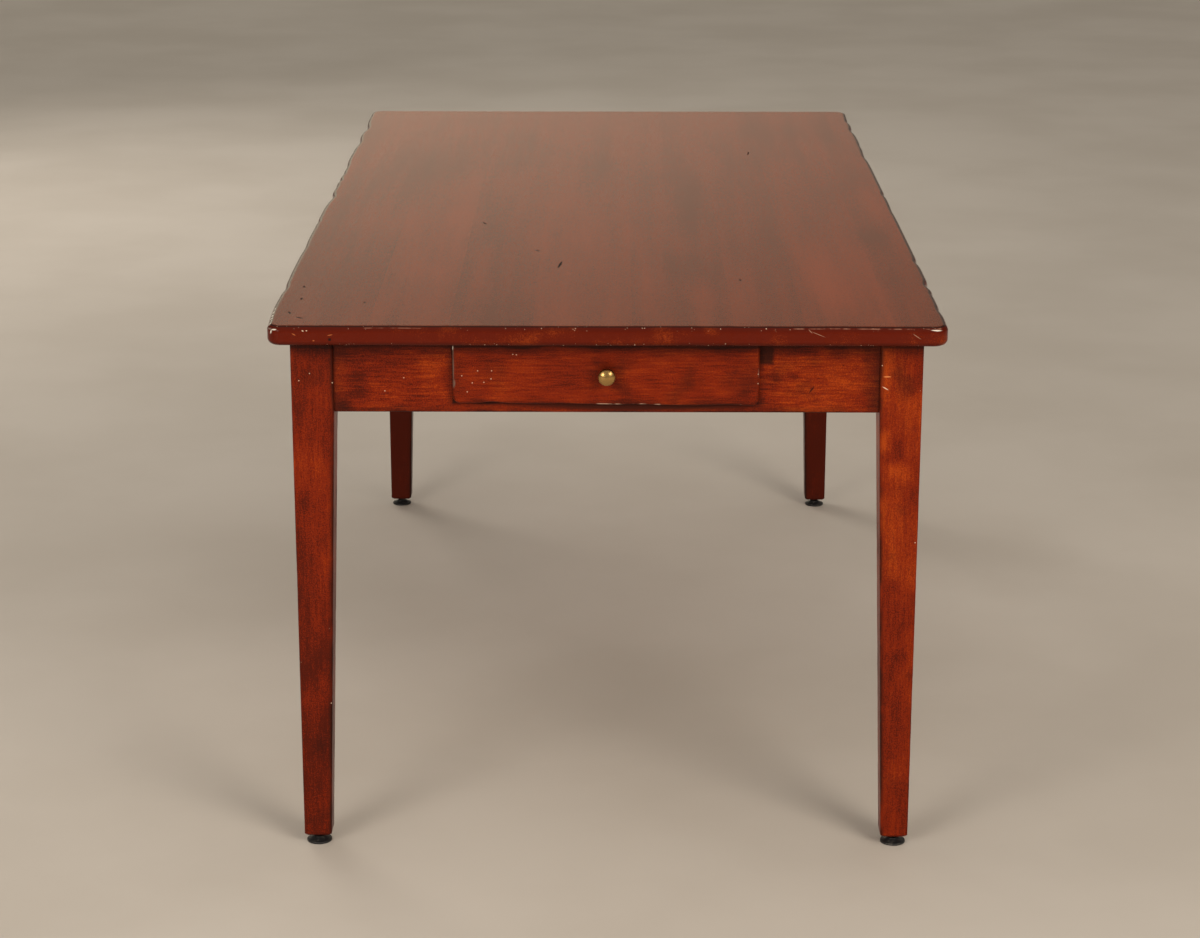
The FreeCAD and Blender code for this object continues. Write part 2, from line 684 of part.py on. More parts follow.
def drawer_back_and_bottom():
    """The back in its housings, the panel slid in under it, and the brads that hold the panel."""
    back_half = box_inner_half + DRAWER_BACK_HOUSING
    back = box((-back_half, back_half), (back_front, back_rear), (bottom_high, box_high))
    panel_half = box_inner_half + BOTTOM_GROOVE_DEPTH - WOOD_FIT
    panel_front = front_back - BOTTOM_GROOVE_DEPTH + WOOD_FIT
    panel = box((-panel_half, panel_half), (panel_front, box_rear), (bottom_low, bottom_high))
    radius = BRAD_DIAMETER / 2
    length = BOTTOM_THICKNESS + BRAD_BITE
    brads = []
    holes = []
    for share in BRAD_WIDTH_SHARES:
        at = Vector(box_inner_half * share, (back_front + back_rear) / 2, bottom_low)
        brads.append(Part.makeCylinder(radius, length, at))
        holes.append(Part.makeCylinder(radius + WOOD_FIT, length + WOOD_FIT, at))
    return {
        "drawer_back": carve(back, holes),
        "drawer_bottom": carve(panel, holes),
        "bottom_brads": Part.makeCompound(brads),
    }


def drawer_knob():
    """A flattened ball knob on a short coved neck, bored for its screw.

    The head has a shallow crown in front and the same at its back, joined by a tighter round at the rim.
    """
    ball = KNOB_DIAMETER / 2
    base = KNOB_BASE_DIAMETER / 2
    neck = KNOB_NECK_DIAMETER / 2
    rim_turn = math.asin((ball - KNOB_RIM_RADIUS) / (KNOB_CROWN_RADIUS - KNOB_RIM_RADIUS))
    neck_turn = math.asin(neck / KNOB_CROWN_RADIUS)
    half_depth = KNOB_CROWN_RADIUS - (KNOB_CROWN_RADIUS - KNOB_RIM_RADIUS) * math.cos(rim_turn)
    middle = KNOB_PROJECTION - half_depth

    def crown(turn, way):
        """A point of the crown in front (way 1) or at the back (way -1), by its turn from the axis."""
        rise = half_depth - KNOB_CROWN_RADIUS * (1 - math.cos(turn))
        return Vector(KNOB_CROWN_RADIUS * math.sin(turn), 0, middle + way * rise)

    foot = Vector(0, 0, 0)
    base_low = Vector(base, 0, 0)
    base_high = Vector(base, 0, KNOB_BASE_HEIGHT)
    neck_top = crown(neck_turn, -1)
    cove = Vector(neck + (base - neck) * KNOB_COVE_SHARE, 0, (KNOB_BASE_HEIGHT + neck_top.z) / 2)
    edges = [
        Part.LineSegment(foot, base_low).toShape(),
        Part.LineSegment(base_low, base_high).toShape(),
        Part.Arc(base_high, cove, neck_top).toShape(),
        Part.Arc(neck_top, crown((neck_turn + rim_turn) / 2, -1), crown(rim_turn, -1)).toShape(),
        Part.Arc(crown(rim_turn, -1), Vector(ball, 0, middle), crown(rim_turn, 1)).toShape(),
        Part.Arc(crown(rim_turn, 1), crown(rim_turn / 2, 1), crown(0, 1)).toShape(),
        Part.LineSegment(crown(0, 1), foot).toShape(),
    ]
    knob = Part.Face(Part.Wire(edges)).revolve(Vector(0, 0, 0), Vector(0, 0, 1), 360)
    thread = KNOB_SCREW_DIAMETER / 2 + WOOD_FIT
    knob = carve(knob, [Part.makeCylinder(thread, KNOB_SCREW_BITE + WOOD_FIT)])
    return stand(knob, Vector(0, lip_front, knob_z), Vector(0, -1, 0))


def knob_screw():
    """A slotted pan-head machine screw, through the drawer front from inside into the knob."""
    head = KNOB_SCREW_HEAD_DIAMETER / 2
    shank = KNOB_SCREW_DIAMETER / 2
    length = DRAWER_FRONT_THICKNESS + KNOB_SCREW_BITE
    back = -KNOB_SCREW_HEAD_HEIGHT
    screw = lathe([(0, back), (head, back), (head, 0), (shank, 0), (shank, length), (0, length)])
    slot_y = (-SCREW_SLOT_WIDTH / 2, SCREW_SLOT_WIDTH / 2)
    screw = carve(screw, [box((-head, head), slot_y, (back, back + SCREW_SLOT_DEPTH))])
    return stand(screw, Vector(0, front_back, knob_z), Vector(0, -1, 0))


# Screw levellers
def insert_blank(slack=0.0):
    """The outside of a flanged insert, its flange flush with the leg's end at the origin."""
    body = STUD_DIAMETER / 2 + INSERT_WALL + slack
    flange = body + INSERT_FLANGE_WIDTH
    step = INSERT_FLANGE_HEIGHT + slack
    end = INSERT_LENGTH + slack
    return lathe([(0, 0), (flange, 0), (flange, step), (body, step), (body, end), (0, end)])


def leveller_pad():
    """A round pad with a coned hub; its socket traps the flange of the stud."""
    rim = PAD_DIAMETER / 2
    hub = PAD_HUB_DIAMETER / 2
    socket = STUD_FLANGE_DIAMETER / 2 + PAD_SOCKET_CLEARANCE
    neck = STUD_NECK_DIAMETER / 2 + PAD_SOCKET_CLEARANCE
    return lathe(
        [
            (0, 0),
            (rim - PAD_EDGE_ROUND, 0),
            (rim, PAD_EDGE_ROUND),
            (rim, PAD_EDGE_HEIGHT - PAD_EDGE_ROUND),
            (rim - PAD_EDGE_ROUND, PAD_EDGE_HEIGHT),
            (hub, pad_high - PAD_EDGE_ROUND),
            (hub - PAD_EDGE_ROUND, pad_high),
            (neck, pad_high),
            (neck, socket_roof),
            (socket, socket_roof),
            (socket, PAD_FLOOR),
            (0, PAD_FLOOR),
        ]
    )


def leveller_stud():
    """A stud with a trapped flange, a narrow neck, a hexagonal collar and a chamfered shank."""
    flange = STUD_FLANGE_DIAMETER / 2
    neck = STUD_NECK_DIAMETER / 2
    shank = STUD_DIAMETER / 2
    low = PAD_FLOOR + PAD_SOCKET_CLEARANCE
    body = lathe(
        [
            (0, low),
            (flange, low),
            (flange, low + STUD_FLANGE_HEIGHT),
            (neck, low + STUD_FLANGE_HEIGHT),
            (neck, collar_low),
            (shank, collar_low),
            (shank, stud_high - STUD_END_CHAMFER),
            (shank - STUD_END_CHAMFER, stud_high),
            (0, stud_high),
        ]
    )
    collar = stand(hexagon(COLLAR_ACROSS_FLATS, COLLAR_HEIGHT), Vector(0, 0, collar_low), Vector(0, 0, 1))
    return body.fuse(collar).removeSplitter().Solids[0]


def levellers():
    """A pad and a stud under each leg, and the inserts in the leg ends that the studs turn in."""
    bore_radius = STUD_DIAMETER / 2 + STUD_THREAD_CLEARANCE
    insert = carve(insert_blank(), [Part.makeCylinder(bore_radius, INSERT_LENGTH)])
    up = Vector(0, 0, 1)
    made = {}
    inserts = []
    for name, (sx, sy) in CORNERS.items():
        floor = Vector(sx * foot_x, sy * foot_y, 0)
        made[f"leveller_pad_{name}"] = stand(leveller_pad(), floor, up)
        made[f"leveller_stud_{name}"] = stand(leveller_stud(), floor, up)
        inserts.append(stand(insert, floor + up * leg_low, up))
    made["leg_inserts"] = Part.makeCompound(inserts)
    return made


def build():
    """Every piece of the table, by node name."""
    fasteners, corner_holes = corner_fasteners()
    button_pieces, button_holes = buttons()
    kicker_pieces, kicker_holes = kickers()
    return {
        **plank_top(button_holes + kicker_holes),
        **legs(corner_holes),
        **side_aprons(corner_holes),
        **end_aprons(corner_holes),
        **corner_blocks(corner_holes),
        **fasteners,
        **cross_rails(),
        **button_pieces,
        **runners(),
        **kicker_pieces,
        "drawer_front": drawer_front(),
        **drawer_sides(),
        **drawer_back_and_bottom(),
        "drawer_knob": drawer_knob(),
        "knob_screw": knob_screw(),
        **levellers(),
    }


os.makedirs("parts", exist_ok=True)
for node, shape in build().items():
    shape.exportStep(f"parts/{node}.step")
    print(f"{node}: {len(shape.Solids)} solids, {shape.Volume:.0f} mm3, valid {shape.isValid()}")
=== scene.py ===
"""Looks of a tavern table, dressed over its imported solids: metres, in the solids' own frame."""
import math

import bmesh
import bpy
import numpy as np
from mathutils import Matrix, Vector


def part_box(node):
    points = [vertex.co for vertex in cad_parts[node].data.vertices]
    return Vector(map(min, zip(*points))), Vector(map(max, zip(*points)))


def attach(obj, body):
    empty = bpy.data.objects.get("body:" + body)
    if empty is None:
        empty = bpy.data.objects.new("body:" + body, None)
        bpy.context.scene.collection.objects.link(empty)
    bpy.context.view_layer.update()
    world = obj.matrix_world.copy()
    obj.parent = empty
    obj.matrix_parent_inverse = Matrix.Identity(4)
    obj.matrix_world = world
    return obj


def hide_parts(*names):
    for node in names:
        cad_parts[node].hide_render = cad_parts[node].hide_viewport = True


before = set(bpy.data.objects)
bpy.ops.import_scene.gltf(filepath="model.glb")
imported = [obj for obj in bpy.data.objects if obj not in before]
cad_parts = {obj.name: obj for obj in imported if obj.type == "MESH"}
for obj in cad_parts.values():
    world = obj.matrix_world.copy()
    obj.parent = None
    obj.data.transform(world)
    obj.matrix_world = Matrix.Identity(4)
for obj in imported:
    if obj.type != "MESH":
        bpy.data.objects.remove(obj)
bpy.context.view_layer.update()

# Legs
# Four legs of red-stained cherry, sawn square and tapered on their two inner faces below the aprons.
# Each foot is bored for its leveller; the arrises were eased by hand and have been knocked since.
CORNERS = {"front_left": (-1, -1), "front_right": (1, -1), "rear_left": (-1, 1), "rear_right": (1, 1)}
LEG_FOOT = 0.038
LEG_ARRIS = 0.0025
LEG_FOOT_EASE = 0.003
LEG_SEAT_CHAMFER = 0.009
LEG_ROW_STEP = 0.004
LEG_SIDE_POINTS = 20
LEG_CROWDING = 1.8
STUD_BORE, STUD_BORE_DEPTH = 0.0045, 0.042
INSERT_BORE, INSERT_BORE_DEPTH = 0.0066, 0.0221
FLANGE_BORE, FLANGE_BORE_DEPTH = 0.0101, 0.0017
LEG_KNOCKS = {"count": 14, "depth": 0.0018, "length": 0.016}
LEG_ARRIS_REACH = 0.004
# Painted light and shade in each leg's tone: the rear legs darkened as if in the table's shadow, the front
# right leg lightened as if lit, the front left leg a little darker.
LEG_LIGHT_TONES = {"front_left": -0.06, "front_right": 0.14, "rear_left": -0.3, "rear_right": -0.3}
LEG_FOOT_TONE = -0.25
KNOCK_LEAST = 0.25
WELD = 1e-6
SHARP = math.radians(38)
SEED = 1830

leg_low, leg_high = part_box("leg_front_right")
leg_size = leg_high.x - leg_low.x
leg_out = np.array([leg_high.x, -leg_low.y])
apron_low, apron_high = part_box("front_apron")
rng = np.random.default_rng(SEED)


def bell(distance, reach):
    """A bell curve: one at no distance, about a third at the reach."""
    return np.exp(-(distance / reach) ** 2)


def stacked(*values):
    """Grids and plain numbers spread to one shape, then stacked along a new last axis."""
    return np.stack(np.broadcast_arrays(*values), axis=-1)


def knocks(ends, count, depth, length):
    """A function that gives how deep an edge is dented at each place along it: a sum of bell curves."""
    place = rng.uniform(*ends, count)
    deep = depth * rng.uniform(KNOCK_LEAST, 1, count) ** 2
    wide = length * rng.uniform(KNOCK_LEAST, 1, count)
    return lambda along: (deep * bell(along[..., None] - place, wide)).sum(axis=-1)


def shell(name, sheets, marks=()):
    """One object from grids of points: each grid cell is a face, and touching borders are welded.

    A sheet has the shape (rows, columns, 3 + marks): the place of each point, then its value for each
    mark, which becomes an attribute of the mesh.
    """
    faces = []
    start = 0
    for sheet in sheets:
        rows, columns = sheet.shape[:2]
        index = start + np.arange(rows * columns).reshape(rows, columns)
        cells = [index[:-1, :-1], index[:-1, 1:], index[1:, 1:], index[1:, :-1]]
        faces.append(np.stack(cells, axis=-1).reshape(-1, 4))
        start += rows * columns
    points = np.concatenate([sheet.reshape(-1, sheet.shape[2]) for sheet in sheets])
    mesh = bpy.data.meshes.new(name)
    mesh.from_pydata(points[:, :3].tolist(), [], np.concatenate(faces).tolist())
    for column, mark in enumerate(marks, start=3):
        values = mesh.attributes.new(mark, "FLOAT", "POINT").data
        values.foreach_set("value", np.ascontiguousarray(points[:, column], dtype=np.float32))
    welded = bmesh.new()
    welded.from_mesh(mesh)
    bmesh.ops.remove_doubles(welded, verts=welded.verts, dist=WELD)
    bmesh.ops.recalc_face_normals(welded, faces=welded.faces)
    welded.to_mesh(mesh)
    welded.free()
    mesh.shade_smooth()
    mesh.set_sharp_from_angle(angle=SHARP)
    piece = bpy.data.objects.new(name, mesh)
    bpy.context.scene.collection.objects.link(piece)
    return piece


def square_round(count):
    """Places once round a square of half-width one and back to the start, crowded towards its corners."""
    step = np.linspace(-1, 1, count, endpoint=False)
    side = np.sign(step) * (1 - (1 - np.abs(step)) ** LEG_CROWDING)
    full = np.ones_like(side)
    x = np.concatenate([side, full, -side, -full])
    y = np.concatenate([-full, side, full, -side])
    return np.append(x, x[0]), np.append(y, y[0])


def leg_surface(signs, tone):
    """Rings from the blind end of the stud's bore, out over the foot and up to the leg's top.

    A ring is a rounded square: each point of a plain square is held inside the smaller square of the
    arcs' centres, then pushed out from there by the arris radius. A bore's ring is all arc. The radius
    grows where an arris is knocked, and a cut across the inner arris gives the corner block its seat.
    Marks: nearness to an arris, the same on the side towards the drawer only, and the leg's tone, which
    holds the leg's painted light and shade and falls towards the foot.
    """
    foot, top, joint_low = leg_low.z, leg_high.z, apron_low.z
    bores = np.array([
        (0, STUD_BORE_DEPTH), (STUD_BORE, STUD_BORE_DEPTH), (STUD_BORE, INSERT_BORE_DEPTH),
        (INSERT_BORE, INSERT_BORE_DEPTH), (INSERT_BORE, FLANGE_BORE_DEPTH),
        (FLANGE_BORE, FLANGE_BORE_DEPTH), (FLANGE_BORE, 0), (LEG_FOOT / 2 - LEG_FOOT_EASE, 0),
    ])
    shaft = np.linspace(foot + LEG_FOOT_EASE, joint_low, round((joint_low - foot) / LEG_ROW_STEP))
    joint = np.linspace(joint_low, top, round((top - joint_low) / LEG_ROW_STEP))
    height = np.concatenate([foot + bores[:, 1], shaft, joint, [top]])[:, None]
    row = np.arange(len(height))[:, None]
    taper = np.interp(height, (foot, joint_low), (LEG_FOOT / 2, leg_size / 2))
    taper[:len(bores)] = LEG_FOOT / 2
    half = taper.copy()
    half[:len(bores), 0] = bores[:, 0]
    half[-1] = 0

    ring_x, ring_y = square_round(LEG_SIDE_POINTS)
    quarter = (ring_x > 0) + 2 * (ring_y > 0)
    worn = np.stack([knocks((foot, top), **LEG_KNOCKS)(height[:, 0]) for arris in range(4)], axis=1)
    radius = np.minimum(LEG_ARRIS + worn[:, quarter], half)
    radius = np.where(row < len(bores) - 1, half, radius)
    core_x = np.clip(half * ring_x, radius - half, half - radius)
    core_y = np.clip(half * ring_y, radius - half, half - radius)
    lean_x, lean_y = half * ring_x - core_x, half * ring_y - core_y
    stretch = radius / np.maximum(np.hypot(lean_x, lean_y), WELD)
    x, y = core_x + lean_x * stretch, core_y + lean_y * stretch
    arris = bell(np.maximum(half - np.abs(x), half - np.abs(y)), LEG_ARRIS_REACH)
    glazed = arris * (signs[0] * x < 0)

    tone = tone + np.interp(height, (foot, joint_low), (LEG_FOOT_TONE, 0))
    in_joint = row >= len(bores) + len(shaft)
    inward = -(signs[0] * x + signs[1] * y)
    cut = np.maximum(inward - 2 * half + LEG_SEAT_CHAMFER, 0) / 2 * in_joint
    x += signs[0] * (cut + leg_out[0] - taper)
    y += signs[1] * (cut + leg_out[1] - taper)
    return stacked(x, y, height, arris, glazed, tone)


def node(tree, kind, feeds=None, **settings):
    """A new shader node with its settings, and each input fed by a socket or set to a plain value."""
    new = tree.nodes.new(kind)
    for name, value in settings.items():
        setattr(new, name, value)
    for name, source in (feeds or {}).items():
        if isinstance(source, bpy.types.NodeSocket):
            tree.links.new(source, new.inputs[name])
        else:
            new.inputs[name].default_value = source
    return new


def calc(tree, operation, *values):
    """One arithmetic step on sockets or plain numbers."""
    return node(tree, "ShaderNodeMath", dict(enumerate(values)), operation=operation).outputs[0]


def vector_calc(tree, operation, *values):
    """One arithmetic step on places or directions."""
    return node(tree, "ShaderNodeVectorMath", dict(enumerate(values)), operation=operation).outputs[0]


def product(tree, *shares):
    """Shares multiplied together."""
    whole = shares[0]
    for share in shares[1:]:
        whole = calc(tree, "MULTIPLY", whole, share)
    return whole


def total(tree, start, *parts):
    """A start value plus each part's value times its weight, from parts of (value, weight)."""
    for value, weight in parts:
        start = calc(tree, "MULTIPLY_ADD", value, weight, start)
    return start


def ease(tree, value, low, high):
    """A soft step of a value from 0 at low to 1 at high; low may be the larger."""
    feeds = {"Value": value, "From Min": low, "From Max": high}
    return node(tree, "ShaderNodeMapRange", feeds, interpolation_type="SMOOTHSTEP").outputs[0]


def mottle(tree, place, per_metre, detail, run=(1, 1, 1), step=None):
    """Cloudy noise around one half with so many lumps per metre, or a soft step of it from 0 to 1.

    A small share in run draws the lumps out along that axis.
    """
    feeds = {"Vector": vector_calc(tree, "MULTIPLY", place, run), "Scale": per_metre, "Detail": detail}
    noise = node(tree, "ShaderNodeTexNoise", feeds).outputs[0]
    return ease(tree, noise, *step) if step else noise


def layer(tree, under, over, *shares):
    """One colour laid over another by the product of some shares."""
    feeds = {0: product(tree, *shares), 6: under, 7: over}
    return node(tree, "ShaderNodeMix", feeds, data_type="RGBA").outputs[2]


def attribute(tree, name):
    """A mark of the mesh, none where the mesh hasn't got it."""
    return node(tree, "ShaderNodeAttribute", attribute_name=name).outputs["Fac"]


def spot(tree, place, middle, half, turn):
    """How far out a point lies in a turned ellipsoid: none in its middle, one on its skin."""
    at = {"Location": middle, "Rotation": turn, "Scale": half}
    near = node(tree, "ShaderNodeMapping", {"Vector": place, **at}, vector_type="TEXTURE").outputs[0]
    return node(tree, "ShaderNodeVectorMath", {0: near}, operation="LENGTH").outputs["Value"]


def effect(name, vectors, numbers, outputs):
    """An empty node group with named sockets, as (tree, what comes in, where to send what goes out)."""
    tree = bpy.data.node_groups.new(name, "ShaderNodeTree")
    for label in vectors:
        tree.interface.new_socket(label, in_out="INPUT", socket_type="NodeSocketVector")
    for label in numbers:
        tree.interface.new_socket(label, in_out="INPUT", socket_type="NodeSocketFloat")
    for label in outputs:
        tree.interface.new_socket(label, in_out="OUTPUT", socket_type="NodeSocketFloat")
    return tree, tree.nodes.new("NodeGroupInput").outputs, tree.nodes.new("NodeGroupOutput").inputs


def use(tree, group, feeds):
    """A node group placed in a material, with a feed for each named input, as its outputs."""
    return node(tree, "ShaderNodeGroup", feeds, node_tree=group).outputs


GRAIN_NOISES = {
    "Figure": {"per_metre": 22, "detail": 5, "run": (1, 0.6, 1)},
    "Streak": {"per_metre": 420, "detail": 3, "run": (1, 0.07, 1)},
    "Pore": {"per_metre": 1000, "detail": 2, "run": (1, 0.12, 1), "step": (0.57, 0.7)},
}


def cherry_grain():
    """Grain of cherry that runs along Y: broad figure, narrow streaks and short pores."""
    tree, come, go = effect("cherry_grain", ("Place",), (), GRAIN_NOISES)
    for label, noise in GRAIN_NOISES.items():
        tree.links.new(mottle(tree, come["Place"], **noise), go[label])
    return tree


SPECK_LEAST_SHARE = 0.4
SPECK_CORE_SHARE = 0.6
SPECK_RAGGED = {"Scale": 700, "Detail": 2}


def specks():
    """Sparse ragged marks: the middles of a chosen share of Voronoi cells, of a given size in metres."""
    tree, come, go = effect("specks", ("Place",), ("Per metre", "Share", "Size"), ("Speck",))
    drift = node(tree, "ShaderNodeTexNoise", {"Vector": come["Place"], **SPECK_RAGGED}).outputs["Color"]
    drift = node(tree, "ShaderNodeVectorMath", {0: drift, "Scale": come["Size"]}, operation="SCALE")
    place = vector_calc(tree, "ADD", drift.outputs[0], come["Place"])
    cell = node(tree, "ShaderNodeTexVoronoi", {"Vector": place, "Scale": come["Per metre"]})
    chance = node(tree, "ShaderNodeSeparateColor", {"Color": cell.outputs["Color"]})
    bare = calc(tree, "SUBTRACT", 1, come["Share"])
    chosen = calc(tree, "GREATER_THAN", chance.outputs[0], bare)
    size_share = calc(tree, "ADD", SPECK_LEAST_SHARE, chance.outputs[1])
    reach = product(tree, come["Size"], come["Per metre"], size_share)
    near = ease(tree, calc(tree, "DIVIDE", cell.outputs["Distance"], reach), 1, SPECK_CORE_SHARE)
    tree.links.new(product(tree, chosen, near), go["Speck"])
    return tree


RUB_PATCH = {"per_metre": 60, "detail": 5, "step": (0.42, 0.6)}
RUB_ARRIS = (0.7, 0.97)
SMOKE = {"per_metre": 17, "detail": 6}
SMOKE_STEP = (0.52, 0.8)


def hand_wear():
    """Wear and glaze: where an arris is rubbed, smoky unevenness, and where that leaves dark glaze."""
    tree, come, go = effect("hand_wear", ("Place",), ("Arris",), ("Rubbed", "Smoke", "Glaze"))
    patch = mottle(tree, come["Place"], **RUB_PATCH)
    worn = ease(tree, come["Arris"], *RUB_ARRIS)
    tree.links.new(product(tree, worn, patch), go["Rubbed"])
    smoke = mottle(tree, come["Place"], **SMOKE)
    tree.links.new(smoke, go["Smoke"])
    tree.links.new(ease(tree, smoke, *SMOKE_STEP), go["Glaze"])
    return tree


def crevice():
    """Least distance in from the sides of a box, negative outside it, for what gathers at joints."""
    tree, come, go = effect("crevice", ("Place", "Middle", "Half"), (), ("Inside",))
    away = vector_calc(tree, "ABSOLUTE", vector_calc(tree, "SUBTRACT", come["Place"], come["Middle"]))
    inside = vector_calc(tree, "SUBTRACT", come["Half"], away)
    sides = node(tree, "ShaderNodeSeparateXYZ", {0: inside}).outputs
    least = calc(tree, "MINIMUM", calc(tree, "MINIMUM", sides[0], sides[1]), sides[2])
    tree.links.new(least, go["Inside"])
    return tree


def finish(name, **values):
    """A new material with plain values set on its shader, as (material, tree, shader, place on the piece)."""
    material = bpy.data.materials.new(name)
    material.use_nodes = True
    tree = material.node_tree
    shader = tree.nodes["Principled BSDF"]
    for label, value in values.items():
        shader.inputs[label.replace("_", " ")].default_value = value
    return material, tree, shader, node(tree, "ShaderNodeTexCoord").outputs["Object"]


def feed(tree, shader, colour, rough, height, relief):
    """Send a finish's colour, roughness and height to its shader; relief is the bump's strength and depth."""
    bump = node(tree, "ShaderNodeBump", {"Height": height, **relief}).outputs[0]
    for label, source in {"Base Color": colour, "Roughness": rough, "Normal": bump}.items():
        tree.links.new(source, shader.inputs[label])


GRAIN, SPECKS, WEAR, CREVICE = cherry_grain(), specks(), hand_wear(), crevice()
ALONG_X = (0, 0, math.radians(90))
ALONG_Y = (0, 0, 0)
ALONG_Z = (math.radians(90), 0, 0)
FRAME_DARK = (0.07, 0.007, 0.002, 1)
FRAME_RED = (0.19, 0.015, 0.002, 1)
FRAME_ORANGE = (0.37, 0.05, 0.004, 1)
# Near black of glaze, also used for painted shade and painted shadows.
GLAZE_AND_SHADE_BLACK = (0.014, 0.004, 0.002, 1)
# Grey and tan of rubbed arrises, partly painted sheen and highlight on the drawer's face.
RUBBED_AND_SHEEN_GREY = (0.16, 0.09, 0.065, 1)
BARE_AND_HIGHLIGHT_TAN = (0.55, 0.36, 0.26, 1)
FLECK_TAN = (0.7, 0.5, 0.35, 1)
LACQUER_SHEEN = 0.11
FIGURE_WEIGHT, STREAK_WEIGHT, SPECKLE_WEIGHT = 0.95, 0.65, 1.2
LEG_STREAK, FRONT_STREAK = 0.55, 1.1
SPECKLE = {"per_metre": 700, "detail": 2}
DARK_STEP = (1.02, 1.46)
ORANGE_STEP = (1.4, 1.95)
PORE_SHARE, GLAZE_SHARE, LINE_SHARE = 0.45, 0.62, 0.9
LINE_STEP = (0.64, 0.84)
SMOKE_SPREAD = 3.0
SMOKE_DUST = 0.6
BARE_FADE = 0.004
WARM_FADE = 0.012
FACE_MARK_DEPTH = 0.004
FLECK_HALF = (0.001, FACE_MARK_DEPTH, 0.0009)
MARK_FADE = (1, 0.45)
ARRIS_FLECK = {"Per metre": 150, "Share": 0.03, "Size": 0.0007}
PIT = {"Per metre": 60, "Share": 0.18, "Size": 0.0011}
PIT_SHARE = 0.8
ARRIS_STEP = (0.1, 0.6)
FRAME_ROUGH, STREAK_ROUGH, GLAZE_ROUGH = 0.24, 0.14, 0.2
FRAME_RELIEF = {"Strength": 0.45, "Distance": 0.0004}
FAR = 9.0


def speck(tree, place, kind):
    """Sparse ragged marks of one kind, by their number per metre, their share and their size."""
    return use(tree, SPECKS, {"Place": place, **kind})["Speck"]


def depth_in_box(tree, place, middle, half):
    """How far in from the sides of a box a point lies, negative outside it."""
    return use(tree, CREVICE, {"Place": place, "Middle": middle, "Half": half})["Inside"]


def marked(tree, place, colour, marks):
    """A colour with marks laid over it, each from (middle, half, turn, colour): scratch marks, chips, painted
    highlights and painted shadows.
    """
    for middle, half, turn, over in marks:
        colour = layer(tree, colour, over, ease(tree, spot(tree, place, middle, half, turn), *MARK_FADE))
    return colour


def upright(degrees):
    """A turn about Y, in the plane of a face that looks along the table."""
    return (0, math.radians(degrees), 0)


def flecks(y, colour, *places):
    """Small marks of one colour at places (x, z) of an upright face at y."""
    return [((x, y, z), FLECK_HALF, upright(0), colour) for x, z in places]


def upright_marks(y, deep, *rows):
    """Marks on an upright face at y, each from (x, z, half width, half height, degrees of turn, colour)."""
    return [((x, y, z), (wide, deep, high), upright(degrees), colour)
            for x, z, wide, high, degrees, colour in rows]


